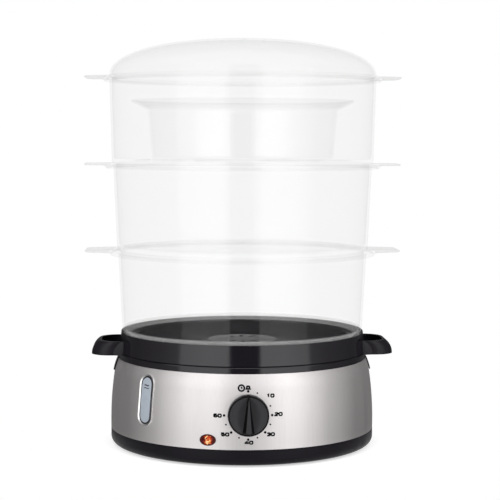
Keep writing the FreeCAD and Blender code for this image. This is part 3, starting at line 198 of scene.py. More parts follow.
def speckle(tree, per_metre, detail=2.0, stretch=(1, 1, 1)):
    """Fine noise on the piece's own coordinates, so many waves to the metre."""
    spread = node(tree, "Mapping", {0: node(tree, "TexCoord").outputs["Object"], 3: stretch})
    return node(tree, "TexNoise", {"Vector": spread, "Scale": per_metre, "Detail": detail})


def between(tree, factor, low, high):
    """Spread a 0 to 1 pattern between two values."""
    return node(tree, "MapRange", {0: factor, 1: 0.3, 2: 0.7, 3: low, 4: high})


def relief(tree, pattern, height):
    """A bump of a real height in metres from a pattern."""
    return node(tree, "Bump", {"Height": pattern, "Distance": height})


SATIN_FADE, SATIN_STEP = 0.004, 0.3


def moulded(name, colour, gloss, peel=0.00002, shine=0.5, satin_past=None):
    """Moulded plastic: gloss gives its two roughness limits, shine its specular level and
    peel the height of its orange peel. Further across than satin_past it is textured to a
    satin finish, which is rougher and mirrors less."""
    made, tree = new_material(name)
    cloud = speckle(tree, 90, 3)
    grain = speckle(tree, 1400, 1)
    tone = node(tree, "Mix", {0: cloud, 6: linear(colour[0]), 7: linear(colour[1])},
                data_type="RGBA")
    rough = between(tree, cloud, *gloss)
    if satin_past:
        across = node(tree, "SeparateXYZ", {0: node(tree, "TexCoord").outputs["Object"]})
        across = node(tree, "Math", {0: across}, operation="ABSOLUTE")
        out = node(tree, "MapRange", {0: across, 1: satin_past, 2: satin_past + SATIN_FADE,
                                      3: 0.0, 4: SATIN_STEP})
        rough = node(tree, "Math", {0: rough, 1: out}, operation="ADD")
        shine = node(tree, "Math", {0: shine, 1: out}, operation="SUBTRACT")
    finish_with(tree, {"Base Color": tone.outputs[2], "Roughness": rough,
                       "IOR": 1.49, "Specular IOR Level": shine,
                       "Normal": relief(tree, grain, peel)})
    return made


black_gloss = moulded("black_polypropylene_gloss", ("131116", "18151b"), (0.05, 0.09))
black_matt = moulded("black_polypropylene_fine_matt", ("110f14", "161319"), (0.38, 0.48),
                     shine=0.1)
black_tray = moulded("black_polypropylene_satin_grips", ("131116", "18151b"), (0.05, 0.09),
                     satin_past=0.112)
dress(black_gloss, "water_tank", "steam_ring")
dress(black_tray, "drip_tray")
dress(black_matt, "base_housing", "bottom_cover", "cord_gland", "lamp_sleeve")


# ---------------------------------------------------------------- steel band
# A strip of stainless steel sheet, 0.6 mm, brushed upright, rolled round the housing and
# held by its turned edges. The brushing blurs what it mirrors from side to side. Its lines
# are drawn about 1 mm apart, coarser than real ones, so that they show.
steel, tree = new_material("brushed_stainless_sheet")
line = speckle(tree, 900, 2, (1, 1, 0.004))
drift = speckle(tree, 60, 3, (1, 1, 0.05))
tone = node(tree, "Mix", {0: line, 6: linear("cbc7c7"), 7: linear("d4d0d0")}, data_type="RGBA")
upright = node(tree, "Tangent", direction_type="RADIAL", axis="Z")
finish_with(tree, {"Base Color": tone.outputs[2], "Metallic": 1.0,
                   "Roughness": between(tree, drift, 0.32, 0.37), "Anisotropic": 0.85,
                   "Anisotropic Rotation": 0.0, "Tangent": upright,
                   "Normal": relief(tree, line, 0.000004)})
dress(steel, "steel_band")


# ---------------------------------------------------------------- clear mouldings
# Baskets, rice bowl and lid are moulded in clear styrene, 2 mm thick and very slightly
# hazy: most light goes straight through and each face mirrors a little at a slant.
PAINTED_LIGHT_FADE, PAINTED_LIGHT_SHARE = 0.0015, 0.24


def clear_plastic(name, haze, tint, rough=0.006, mirrored=(0.012, 0.07), painted_light_foot=None):
    """Clear plastic. haze is the share of light that each face scatters, mirrored the share
    that it reflects face on and at a slant. Below the foot height given, more haze is added:
    a painted paler band that stands in for light that the thick corner gathers."""
    made, tree = new_material(name)
    cloud = speckle(tree, 55, 2)
    bump = relief(tree, speckle(tree, 60, 1), 0.000006)
    through = node(tree, "BsdfTransparent", {0: linear(tint)})
    veil = node(tree, "BsdfTranslucent", {0: linear("f6f6f5")})
    matt = node(tree, "BsdfDiffuse", {0: linear("f6f6f5")})
    body = node(tree, "MixShader", {0: 0.5, 1: veil, 2: matt})
    haze = between(tree, cloud, haze * 0.8, haze * 1.2)
    # Painted light: extra haze below the foot height makes a paler band there.
    if painted_light_foot:
        height = node(tree, "SeparateXYZ", {0: node(tree, "TexCoord").outputs["Object"]})
        painted_light = node(tree, "MapRange", {0: height.outputs["Z"], 1: painted_light_foot + PAINTED_LIGHT_FADE,
                                        2: painted_light_foot, 3: 0.0, 4: PAINTED_LIGHT_SHARE})
        haze = node(tree, "Math", {0: haze, 1: painted_light}, operation="ADD")
    hazy = node(tree, "MixShader", {0: haze, 1: through, 2: body})
    shine = node(tree, "BsdfGlossy", {"Roughness": rough, "Normal": bump})
    slant = node(tree, "LayerWeight", {"Blend": 0.5}).outputs["Facing"]
    slant = node(tree, "Math", {0: slant, 1: 5.0}, operation="POWER")
    mirror = node(tree, "MapRange", {0: slant, 3: mirrored[0], 4: mirrored[1]})
    node(tree, "OutputMaterial", {0: node(tree, "MixShader", {0: mirror, 1: hazy, 2: shine})})
    return made


clear = clear_plastic("clear_styrene", 0.008, "fefefe")
clearest = clear_plastic("clear_styrene_polished", 0.002, "ffffff", 0.004, (0.014, 0.04))
# The lowest basket's foot carries that painted paler band.
clear_foot_painted_light = clear_plastic("clear_styrene_pale_foot", 0.008, "fefefe", painted_light_foot=0.1145)
# The same plastic with painted shade where it is seen through its edge: a little greyer in the
# rims, and more so in the side handles, which are seen along their plates.
clear_rim_painted_shade = clear_plastic("clear_styrene_rim_painted_shade", 0.01, "fdfdfd", 0.03, (0.012, 0.05))
clear_wing_painted_shade = clear_plastic("clear_styrene_edge_painted_shade", 0.04, "f7f7f7", 0.04)


def face_middles(made):
    """The middle of each face, in millimetres."""
    middles = np.empty(len(made.data.polygons) * 3)
    made.data.polygons.foreach_get("center", middles)
    return middles.reshape(-1, 3) * 1000


def greyer_beyond(made, reach, low=0.0, wing=999.0, floor=0.0):
    """Give the faces past a distance from the axis, and above a height, the rim's painted shade,
    those further out than wing the handles' darker painted shade, and the floor the polished
    finish."""
    for finish in (clear_rim_painted_shade, clear_wing_painted_shade, clearest):
        made.data.materials.append(finish)
    middles = face_middles(made)
    out = np.hypot(middles[:, 0], middles[:, 1])
    tone = ((out > reach) & (middles[:, 2] > low)).astype(int) + (out > wing)
    tone[middles[:, 2] < floor] = 3
    made.data.polygons.foreach_set("material_index", tone)


# ---------------------------------------------------------------- baskets
# Three clear baskets, each with a slotted floor, a flange with a turned-down lip and two
# side handles. An upper one stands on the flange below it, and a ring under it finds the
# way in.
def arc(middle, radius, start, end, steps=6):
    """Points on a circle arc, from one angle in degrees to another: middle plus radius
    times cosine and sine of the angle."""
    lean = np.radians(np.linspace(start, end, steps))
    return [(middle[0] + radius * np.cos(a), middle[1] + radius * np.sin(a)) for a in lean]


def woven(rows, columns, ring=False):
    """Quads between neighbouring points of a grid, row by row. The last row joins the first,
    and in a ring the last point of each row joins its first too."""
    across = np.arange(columns if ring else columns - 1)
    start = np.arange(rows)[:, None] * columns
    here, beside = start + across, start + (across + 1) % columns
    quads = np.stack([here, beside, beside + columns, here + columns], 2) % (rows * columns)
    return quads.reshape(-1, 4)


def carried_round(turn, profile):
    """Carry a profile round Z: at each turn a point is (reach cos turn, reach sin turn,
    height), where reach is one number, or one for each turn. Neighbours make a quad."""
    reach = np.stack([np.broadcast_to(r, turn.shape) for r, _ in profile], 1)
    height = np.stack([np.broadcast_to(z, turn.shape) for _, z in profile], 1)
    points = np.stack([reach * np.cos(turn)[:, None], reach * np.sin(turn)[:, None], height], 2)
    return points.reshape(-1, 3), woven(*reach.shape)


def filled(loops, inside=()):
    """Fill a flat outline less its holes with triangles, with any loose points inside it:
    gives the points, the triangles and each loop's own edges."""
    flat = np.concatenate(list(loops) + [np.asarray(inside, float).reshape(-1, 2)])
    starts = np.cumsum([0] + [len(loop) for loop in loops])
    rims = [np.stack([np.arange(a, b), np.roll(np.arange(a, b), -1)], 1)
            for a, b in zip(starts[:-1], starts[1:])]
    spots, _, fill, *_ = delaunay_2d_cdt([Vector(p) for p in flat],
                                         np.concatenate(rims).tolist(), [], 2, 1e-7)
    return np.array(spots), np.array(fill), rims


def pierced(turn, reach, holes, low, high, inside=()):
    """A round plate with holes, open at its edge so that a wall can carry on from it. The
    flat outline is filled with triangles, then each point is lifted to low(r) and high(r)."""
    edge = reach * np.stack([np.cos(turn), np.sin(turn)], 1)
    spots, fill, rims = filled([edge] + list(holes), inside)
    away = np.hypot(*spots.T)
    count = len(spots)
    points = np.concatenate([np.column_stack([spots, high(away)]),
                             np.column_stack([spots, low(away)])])
    walls = np.concatenate(rims[1:]) if holes else np.zeros((0, 2), int)
    walls = np.column_stack([walls, walls[:, ::-1] + count])
    return points, [*fill.tolist(), *(fill[:, ::-1] + count).tolist(), *walls.tolist()]


def welded(name, parts):
    """One closed mesh from parts that meet edge to edge, faces outwards. Edges that bend more
    than 32 degrees are kept sharp."""
    points, faces, base = [], [], 0
    for spots, corners in parts:
        points.append(np.asarray(spots, float) / 1000)
        faces += [tuple(int(c) + base for c in corner) for corner in corners]
        base += len(spots)
    made = new_mesh(name, np.concatenate(points), faces)
    work = bmesh.new()
    work.from_mesh(made.data)
    bmesh.ops.remove_doubles(work, verts=work.verts, dist=2e-6)
    bmesh.ops.dissolve_degenerate(work, edges=work.edges, dist=1e-7)
    bmesh.ops.recalc_face_normals(work, faces=work.faces)
    work.to_mesh(made.data)
    work.free()
    made.data.set_sharp_from_angle(angle=math.radians(32))
    return made


def slots(last):
    """Round-ended slots 4 mm wide, in twelve groups of six round a basket's floor."""
    loops = []
    for near, far, side in ((26, 50, 0), (60, 82, 8.5), (60, 82, -8.5), (90, last, 0),
                            (90, last, 15), (90, last, -15)):
        ends = np.array(arc((far, side), 2, -90, 90, 7) + arc((near, side), 2, 90, 270, 7))
        for turned in np.radians(np.arange(0, 360, 30)):
            cos, sin = np.cos(turned), np.sin(turned)
            loops.append(ends @ np.array([[cos, sin], [-sin, cos]]))
    return loops


# A handle's plate reaches WING_TIP, has straight ends WING_HALF each side of the middle, then
# round corners, and widens through WING_KNEE to WING_ROOT, where it leaves the flange.
WING_TIP, WING_CORNER, WING_HALF, WING_ROOT = 155.2, 10.0, 16.0, 38.0
WING_KNEE = (WING_TIP - 13, 28)


def wing_reach(turn, top, flange):
    """How far the flange reaches at each turn: the flange's own circle, or the outline of a
    side handle where that is further out, the two blended over 2 mm."""
    corner = np.array(arc((WING_TIP - WING_CORNER, WING_HALF), WING_CORNER, 0, 78, 8))
    root = np.sqrt(top ** 2 - WING_ROOT ** 2)
    edge = np.concatenate([[(WING_TIP, 0)], corner, [WING_KNEE, (root, WING_ROOT)]])
    lean = np.arctan2(edge[:, 1], edge[:, 0])
    fine = np.linspace(0, lean[-1], 400)
    near = np.abs((turn + np.pi / 2) % np.pi - np.pi / 2)
    # straight runs between the outline's corners, met along the ray at each turn
    spots = np.stack([np.interp(fine, lean, edge[:, 0]), np.interp(fine, lean, edge[:, 1])], 1)
    order = np.arctan2(spots[:, 1], spots[:, 0])
    out = np.interp(near, order, np.hypot(*spots.T), right=top - 3)
    both = (out + flange + np.sqrt((out - flange) ** 2 + 4)) / 2
    return np.minimum(both, WING_TIP / np.cos(near).clip(0.5))


def basket(name, top, flange, rim, foot, floor, edge, last):
    """A basket from its foot profile, which runs from the slotted floor to the wall: top is
    the wall's inner radius at the rim, edge the radius where the floor's plate ends and
    last the outer end of its outermost slots."""
    # every 1.5 degrees, and every 0.4 across the handles
    turn = np.unique(np.concatenate([np.radians(np.arange(0, 360, 1.5)), np.radians(
        np.concatenate([np.arange(-20, 20, 0.4) % 360, np.arange(160, 200, 0.4)]))]).round(9))
    out = wing_reach(turn, top, flange)
    wing = ((out - flange) / 3).clip(0, 1)
    under, over = foot
    round_edge = [(out - 1 + np.cos(a), rim - 1 + np.sin(a))
                  for a in np.radians(np.linspace(90, 0, 5))]
    round_edge += [(out - wing + wing * np.cos(a), rim - 1 - np.sin(a))
                   for a in np.radians(np.linspace(15, 90, 5))]
    gusset = [(flange + 3 * wing - 3 * wing * np.sin(a), rim - 2 - 2.6 * wing * (1 - np.cos(a)))
              for a in np.radians(np.linspace(0, 90, 5))]
    profile = (over + arc((top - 1.2, rim - 0.8), 0.8, 180, 90, 4)
               + round_edge + gusset
               + arc((flange - 0.6, rim - 4.4), 0.6, 0, -90, 4)
               + arc((flange - 1.2, rim - 4.4), 0.6, -90, -180, 4)
               + [(flange - 1.8, rim - 2.6)] + arc((flange - 2.4, rim - 2.6), 0.6, 0, 90, 3)
               + arc((top + 2, rim - 4), 2, 90, 180, 5) + under[::-1])
    flat = pierced(turn, edge, slots(last), lambda r: floor - 2 + 0 * r, lambda r: floor + 0 * r)
    made = welded(name, [carried_round(turn, profile), flat])
    made.data.materials.append(clear)
    greyer_beyond(made, top + 1.5, rim - 6, flange + 1, floor + 0.1)
    return made


FLOOR_DROP, NESTED_EDGE = 81, 112.0


def nested(rim, below, foot):
    """Foot of an upper basket: its floor and ring, from underneath, then from inside. The
    ring drops 4.5 mm into the basket under it, whose wall has the inner radius below."""
    ring, floor = below - 2.8, rim - FLOOR_DROP
    under = ([(NESTED_EDGE, floor - 2), (ring - 1.8, floor - 2)]
             + arc((ring - 1.3, rim - 89), 0.5, 180, 270, 3)
             + arc((ring - 0.5, rim - 89), 0.5, -90, 0, 3)
             + [(ring, rim - 85)] + arc((foot - 0.5, rim - 84.5), 0.5, -90, 0, 3))
    over = [(NESTED_EDGE, floor), (foot - 5, floor)] + arc((foot - 5, floor + 3), 3, -90, 0)[1:]
    return under, over


# The lowest basket stands on the tray's ledge with a round corner, 10.8 mm outside.
FIRST_FLOOR, FIRST_EDGE, CORNER_MIDDLE = 109.0, 106.5, (108.5, 117.8)
FIRST_FOOT = ([(FIRST_EDGE, FIRST_FLOOR - 2)] + arc(CORNER_MIDDLE, 10.8, -90, 0, 9),
              [(FIRST_EDGE, FIRST_FLOOR)] + arc(CORNER_MIDDLE, 8.8, -90, 0, 9))
FIRST_TOP, SECOND_TOP, THIRD_TOP = 123.0, 127.6, 131.2
FIRST_RIM, SECOND_RIM, THIRD_RIM = 193.0, 278.0, 363.0
first = basket("first_basket", FIRST_TOP, 131.5, FIRST_RIM, FIRST_FOOT, FIRST_FLOOR,
               FIRST_EDGE, 102)
second = basket("second_basket", SECOND_TOP, 135.2, SECOND_RIM,
                nested(SECOND_RIM, FIRST_TOP, 124.0), SECOND_RIM - FLOOR_DROP, NESTED_EDGE, 106)
third = basket("third_basket", THIRD_TOP, 136.4, THIRD_RIM,
               nested(THIRD_RIM, SECOND_TOP, 129.0), THIRD_RIM - FLOOR_DROP, NESTED_EDGE, 106)
first.data.materials[0] = clear_foot_painted_light
for made, standing_for, body in ((first, "basket_1", "first_tier"),
                                 (second, "basket_2", "second_tier"),
                                 (third, "basket_3", "third_tier")):
    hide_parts(standing_for)
    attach(made, body)


# ---------------------------------------------------------------- rice bowl
# A loose clear bowl that stands on the top basket's floor. Its wall is nearly upright and
# flares at the rim, where it is lifted by hand.
ALL_ROUND = np.radians(np.arange(0, 360, 1.5))
low = THIRD_RIM - FLOOR_DROP
# Outside from the middle of the foot, up the wall and over the rim, and back down inside.
profile = [(0, low), (60, low), *arc((86.8, low + 3), 3, -90, 0), (90.0, low + 6),
           (93.4, low + 45), *arc((96.8, low + 46.8), 3, 180, 112, 4), (103.5, low + 53.2),
           *arc((109.1, low + 56.9), 0.95, -65, 110, 6), (102.4, low + 55.1),
           *arc((96.8, low + 46.8), 5, 112, 176, 4), (91.3, low + 42), (88.0, low + 6),
           *arc((86.8, low + 3), 1, 0, -90, 3), (60, low + 2), (0, low + 2)]
bowl = welded("rice_bowl_clear", [carried_round(ALL_ROUND, profile)])
bowl.data.materials.append(clearest)
greyer_beyond(bowl, 95.5)
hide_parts("rice_bowl")
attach(bowl, "bowl")


# ---------------------------------------------------------------- lid
# A clear domed lid, 2 mm thick, with six steam holes near its top. A ring under its edge
# finds the way into the top basket.
LID_REACH, LID_RISE, LID_WALL, LID_CAP, FULLNESS = 131.4, 36.8, 2.0, 33.0, 2.2
OUTER, INNER = (LID_REACH, LID_RISE), (LID_REACH - LID_WALL, LID_RISE - LID_WALL)


def dome(reach, rise, lean):
    """Rounded dome: (r / reach) to the power FULLNESS plus (z / rise) to that power is 1."""
    return (reach * np.sin(lean) ** (2 / FULLNESS),
            THIRD_RIM + rise * np.cos(lean) ** (2 / FULLNESS))


def dome_height(reach, rise):
    """Height of that dome at a distance r from the axis."""
    return lambda r: THIRD_RIM + rise * (1 - (r / reach) ** FULLNESS) ** (1 / FULLNESS)


hole = np.array(arc((24, 0), 2, 0, 345, 24))
vents = [hole @ np.array([[np.cos(a), np.sin(a)], [-np.sin(a), np.cos(a)]])
         for a in np.radians(np.arange(30, 390, 60))]
# Loose points on four circles and at the top keep the cap's triangles small, so it curves.
lean = ALL_ROUND[::8]
rings = [r * np.stack([np.cos(lean), np.sin(lean)], 1) for r in (7, 13, 18, 29)]
cap = pierced(ALL_ROUND, LID_CAP, vents, dome_height(*INNER), dome_height(*OUTER),
              np.concatenate(rings + [[(0, 0)]]))
outside, inside = [], []
for (reach, rise), stop, line in ((OUTER, 90, outside), (INNER, 87.5, inside)):
    start = np.degrees(np.arcsin((LID_CAP / reach) ** (FULLNESS / 2)))
    for lean in np.radians(np.linspace(start, stop, 40)):
        line.append(dome(reach, rise, lean))
outside[-1] = (LID_REACH, THIRD_RIM + 0.3)
profile = (outside + [(LID_REACH - 0.3, THIRD_RIM), (128.4, THIRD_RIM)]
           + arc((127.9, THIRD_RIM - 4), 0.5, 0, -90, 3)
           + arc((127.1, THIRD_RIM - 4), 0.5, -90, -180, 3)
           + [(126.6, THIRD_RIM + 1.8)] + inside[::-1])
lid = welded("lid_clear", [carried_round(ALL_ROUND, profile), cap])
lid.data.materials.append(clear)
greyer_beyond(lid, 130.2)
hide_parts("lid")
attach(lid, "cover")


# ---------------------------------------------------------------- knob
# A hollow moulded cap pushed on the timer's shaft. A wedge-shaped grip runs across its satin
# face, narrow at the end that points to the scale, with a satin ridge and polished flanks.
KNOB_BACK, KNOB_HEIGHT, KNOB_RADIUS = 130.8, 49.6, 19.15
KNOB_FACE, GRIP_TOP = 7.3, 13.4


def from_front(across, up, out):
    """Points of a piece on the front: across is x, up is z, out runs to the front."""
    return np.stack([across, -KNOB_BACK - out, KNOB_HEIGHT + up], -1)


def grip_loop(narrow, high, wide, low, belly):
    """Outline of the grip: straight sides from a narrow end to a wide one that bows."""
    run = np.linspace(0, 1, 14)
    bow = np.linspace(-1, 1, 11)[1:-1]
    left = np.stack([-narrow - (wide - narrow) * run, high + (low - high) * run], 1)
    end = np.stack([wide * bow, low - belly * (1 - bow ** 2)], 1)
    return np.concatenate([left, end, left[::-1] * (-1, 1), [(0, high + narrow / 2)]])


turn = np.radians(np.arange(0, 360, 3))
inner = KNOB_RADIUS - 1.8
# From the face over the rounded edge, down the skirt and inside to the socket on the shaft.
skirt = ([(inner, KNOB_FACE)] + arc((KNOB_RADIUS - 1.55, 6.05), 1.3, 95, 10, 6)
         + [(KNOB_RADIUS, 0.3), (KNOB_RADIUS - 0.3, 0), (KNOB_RADIUS - 2.6, 0),
            (KNOB_RADIUS - 2.6, 4), (6, 4), (6, 0.5), (3, 0.5), (3, 6.5), (0, 6.5)])
cap, cap_faces = carried_round(turn, skirt)
cap = from_front(*cap.T)
# The grip's outline at three heights out: half width and height of its narrow end, half
# width and height of its wide end, and how far that end bows.
rises = ((KNOB_FACE, grip_loop(1.1, 16.6, 5.5, -16.0, 1.1)),
         (GRIP_TOP - 0.5, grip_loop(0.62, 15.7, 3.1, -15.0, 0.9)),
         (GRIP_TOP, grip_loop(0.4, 15.2, 2.6, -14.5, 0.8)))
edge = inner * np.stack([np.cos(turn), np.sin(turn)], 1)
spots, fill, _ = filled([edge, rises[0][1]])
face = from_front(*spots.T, np.full(len(spots), KNOB_FACE))
count = len(rises[0][1])
grip = np.concatenate([from_front(*loop.T, np.full(count, out)) for out, loop in rises])
sides = woven(len(rises), count, ring=True)[:2 * count].tolist()
knob = welded("timer_knob_cap", [(cap, cap_faces), (face, fill),
                                 (grip, sides + [list(range(2 * count, 3 * count))])])
knob_gloss = moulded("black_abs_polished", ("08080a", "0c0c0e"), (0.2, 0.28), shine=0.1)
black_satin = moulded("black_abs_satin", ("29292b", "303032"), (0.5, 0.6), shine=0.2)
knob.data.materials.append(knob_gloss)
knob.data.materials.append(black_satin)
out = -KNOB_BACK - face_middles(knob)[:, 1]
satin = (np.abs(out - KNOB_FACE) < 0.02) | (out > GRIP_TOP - 0.05)
knob.data.polygons.foreach_set("material_index", satin.astype(int))
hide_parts("timer_knob")
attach(knob, "timer_knob_set")


# ---------------------------------------------------------------- dial print
# The minute scale round the knob, printed on the steel in black ink: plain numbers, dots
# every five minutes, and a clock and a bell at the top.

# Each arc of the band's profile is the distance and the height of its middle, and its radius.
SHOULDER, LONG_ARC, SHORT_ARC = 72, (-184.6, 25.17, 315), (77.38, 65.1, 50)


def band_reach(height):
    """Radius of the band: the middle's distance plus the root of the arc's radius squared less
    the height above the middle squared, on a long arc up to the shoulder and a short one."""
    long, short = (away + np.sqrt(radius ** 2 - (height - middle) ** 2)
                   for away, middle, radius in (LONG_ARC, SHORT_ARC))
    return np.where(height < SHOULDER, long, short)


def on_band(across, up, proud, turned=0.0):
    """Points across and up from the knob's middle, proud of the band's own curve, all
    turned about the axis from the front."""
    height = KNOB_HEIGHT + up
    reach = band_reach(height)
    lean = turned + np.arcsin(across / reach)
    return np.stack([(reach + proud) * np.sin(lean), -(reach + proud) * np.cos(lean), height], -1)


INK = 0.05


def stroke(path, wide, closed=False, base=0.0, turned=0.0):
    """A strip of ink along a path: each point steps half the width both ways along the
    mitre of its two runs, and the strip stands the ink's thickness proud of its base."""
    path = np.asarray(path, float)
    ahead = np.roll(path, -1, 0) - path
    behind = np.roll(ahead, 1, 0)
    if not closed:
        ahead[-1], behind[0] = behind[-1], ahead[0]
    ahead, behind = (run / np.hypot(*run.T)[:, None] for run in (ahead, behind))
    side = np.stack([-ahead[:, 1], ahead[:, 0]], 1)
    mitre = side + np.stack([-behind[:, 1], behind[:, 0]], 1)
    mitre /= np.hypot(*mitre.T)[:, None]
    mitre *= (wide / 2 / (mitre * side).sum(1).clip(0.5))[:, None]
    edges = [path + mitre, path - mitre]
    ring = np.concatenate([on_band(*edge.T, base + proud, turned)
                           for edge, proud in zip(edges + edges[::-1], (INK, INK, 0, 0))])
    count = len(path)
    here = np.arange(count if closed else count - 1)
    after = (here + 1) % count
    faces = [np.stack([here + a * count, after + a * count, after + b * count,
                       here + b * count], 1) for a, b in ((0, 1), (1, 2), (2, 3), (3, 0))]
    faces = np.concatenate(faces).tolist()
    if not closed:
        faces += [[0, count, 2 * count, 3 * count],
                  [4 * count - 1, 3 * count - 1, 2 * count - 1, count - 1]]
    return ring, faces


def dot(across, up, wide):
    """A round dot as thick as the ink: its top, then its back, joined by a wall."""
    count = 20
    lean = np.linspace(0, 2 * np.pi, count, endpoint=False)
    loop = across + wide / 2 * np.cos(lean), up + wide / 2 * np.sin(lean)
    here, after = np.arange(count), (np.arange(count) + 1) % count
    points = np.concatenate([on_band(*loop, INK), on_band(*loop, 0.0)])
    walls = np.stack([here, here + count, after + count, after], 1).tolist()
    return points, [list(range(count)), list(range(2 * count - 1, count - 1, -1))] + walls


# Each digit's strokes, in shares of its width and height.
DIGITS = {
    "0": ([(0.2, 0), (0.8, 0), (1, 0.2), (1, 0.8), (0.8, 1), (0.2, 1), (0, 0.8), (0, 0.2)],),
    "1": ([(0.2, 0.74), (0.62, 1), (0.62, 0)],),
    "2": ([(0, 0.8), (0.2, 1), (0.8, 1), (1, 0.82), (1, 0.62), (0, 0.14), (0, 0), (1, 0)],),
    "3": ([(0, 0.84), (0.2, 1), (0.8, 1), (1, 0.85), (1, 0.68), (0.8, 0.53), (0.35, 0.53)],
          [(0.78, 0.53), (1, 0.38), (1, 0.16), (0.8, 0), (0.2, 0), (0, 0.16)]),
    "4": ([(0.84, 0), (0.84, 1)], [(0.66, 1), (-0.2, 0.36)], [(-0.32, 0.24), (1.18, 0.24)]),
    "5": ([(0.95, 1), (0.08, 1), (0.04, 0.58), (0.8, 0.58), (1, 0.42), (1, 0.18), (0.8, 0),
           (0.2, 0), (0, 0.14)],),
    "6": ([(0.96, 0.86), (0.8, 1), (0.2, 1), (0, 0.8), (0, 0.2), (0.2, 0), (0.8, 0),
           (1, 0.18), (1, 0.4), (0.8, 0.57), (0.02, 0.57)],),
}
ink = []
DIGIT_WIDE, DIGIT_HIGH, DIGIT_STEP, DIGIT_STROKE = 2.7, 2.5, 3.9, 1.32
DIAL_RADIUS, DIAL_DROP, PER_MINUTE, SMALL_DOT, LARGE_DOT = 22.1, 0.7, 4.5, 1.6, 2.4
for number, across, up in (("10", 20.4, 17.1), ("20", 28.0, 0.0), ("30", 20.8, -18.3),
                           ("40", 0.8, -25.6), ("50", -21.2, -18.2), ("60", -28.1, -1.0)):
    for place, digit in enumerate(number):
        for line in DIGITS[digit]:
            spots = (np.array(line) * (DIGIT_WIDE, DIGIT_HIGH)
                     + (across - (DIGIT_WIDE + DIGIT_STEP) / 2 + DIGIT_STEP * place,
                        up - DIGIT_HIGH / 2))
            ink.append(stroke(spots, DIGIT_STROKE, closed=digit == "0"))
for minutes in (0, 5, 15, 20, 25, 30, 35, 40, 45, 50, 55, 60):
    turned = math.radians(PER_MINUTE * minutes)
    ink.append(dot(DIAL_RADIUS * math.sin(turned), DIAL_RADIUS * math.cos(turned) - DIAL_DROP,
                   SMALL_DOT if minutes % 10 else LARGE_DOT))
lean = np.linspace(0, 2 * np.pi, 28, endpoint=False)
CLOCK, CLOCK_RADIUS = (-6.2, 24.3), 2.7
ink.append(stroke(np.stack([CLOCK[0] + CLOCK_RADIUS * np.cos(lean),
                            CLOCK[1] + CLOCK_RADIUS * np.sin(lean)], 1), 1.6, closed=True))
ink.append(stroke([(CLOCK[0], CLOCK[1] + 1.3), CLOCK, (CLOCK[0] + 1, CLOCK[1])], 1.2))
ink.append(stroke([(-1.6, 23.6), (-1.3, 24.2), (-1.25, 25.4), (-0.8, 25.9), (0.7, 25.9),
                   (1.15, 25.4), (1.2, 24.2), (1.5, 23.6)], 1.6, closed=True))
dial = welded("dial_print", ink)
black_ink = moulded("black_pad_print_ink", ("040405", "070708"), (0.7, 0.8), 0.000005, 0.1)
dial.data.materials.append(black_ink)
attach(dial, "base")


# ---------------------------------------------------------------- lamp
# An oval red polycarbonate lens with a rim, pushed into the band over a small neon lamp.
# The orange and pale yellow glints in its middle are painted: an emission pattern of cells on the
# lens itself.
LAMP_TURN, LAMP_HEIGHT, LAMP_WIDE, LAMP_HIGH = math.radians(-16.5), 25.7, 7.7, 5.4
LAMP_REACH, PAINTED_GLINT_REACH, PAINTED_GLINT_CORE = 129.3, 0.0058, 0.0014
# One section of the lens from its middle out: the share of its half width and half height,
# and how far it stands proud of the band there. The groove inside the rim is at 0.7.
share = np.array([0, 0.2, 0.4, 0.55, 0.66, 0.7, 0.73, 0.76, 0.86, 0.95, 1.0, 1.0])
rise = np.array([2.3, 2.2, 1.9, 1.45, 0.95, 0.55, 0.55, 0.9, 1.05, 0.95, 0.5, -1.2])
lean = np.linspace(0, 2 * np.pi, 48, endpoint=False)
across = LAMP_WIDE * share[None, :] * np.cos(lean)[:, None]
up = LAMP_HIGH * share[None, :] * np.sin(lean)[:, None]
reach = band_reach(LAMP_HEIGHT + up)
around = LAMP_TURN + across / reach
out = reach + rise[None, :] + 0 * across
lens = np.stack([out * np.sin(around), -out * np.cos(around), LAMP_HEIGHT + up], 2)
rows, columns = across.shape
back = [list(range(columns - 1, rows * columns, columns))]
lamp = welded("lamp_lens_oval", [(lens.reshape(-1, 3), woven(rows, columns).tolist() + back)])
red, tree = new_material("red_polycarbonate_painted_glints")
where = node(tree, "TexCoord").outputs["Object"]
middle = np.array([LAMP_REACH * math.sin(LAMP_TURN), -LAMP_REACH * math.cos(LAMP_TURN),
                   LAMP_HEIGHT]) / 1000
# Painted glints: the lens glows in orange and pale yellow cells, strongest at its middle.
near = node(tree, "VectorMath", {0: where, 1: tuple(middle)}, operation="DISTANCE")
near = node(tree, "MapRange", {0: near.outputs["Value"], 1: PAINTED_GLINT_REACH, 2: PAINTED_GLINT_CORE,
                               3: 0.0, 4: 1.0})
glint_cells = node(tree, "TexVoronoi", {"Vector": where, "Scale": 640.0}).outputs["Color"]
glint_cells = node(tree, "SeparateColor", {0: glint_cells})
glow = node(tree, "Math", {0: near, 1: glint_cells}, operation="MULTIPLY")
painted_glint = ramp(tree, glow, [(0.0, linear("1c0202")), (0.12, linear("5a0a05")),
                         (0.24, linear("d04c18")), (0.34, linear("ffd080")),
                         (0.48, linear("fff4d0"))])
finish_with(tree, {"Base Color": linear("3a0605"), "Roughness": 0.1, "IOR": 1.58,
                   "Specular IOR Level": 0.12, "Emission Color": painted_glint,
                   "Emission Strength": 1.0})
lamp.data.materials.append(red)
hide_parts("lamp_lens")
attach(lamp, "base")


# ---------------------------------------------------------------- water window
# The gauge's window is moulded in milky polycarbonate, so that the water behind it shows
# as a darker tone. Two wavy lines on it mark the least and the most water. A black gasket
# holds it, and the band's opening has a polished lip that slopes down to the gasket.
WINDOW_TURN, WINDOW_MIDDLE, WINDOW_RUN, WINDOW_HALF = math.radians(-47.2), 6.9, 14.7, 6.4
milky = moulded("milky_polycarbonate", ("9aa2ab", "b4bcc7"), (0.1, 0.18))
dress(milky, "water_window")


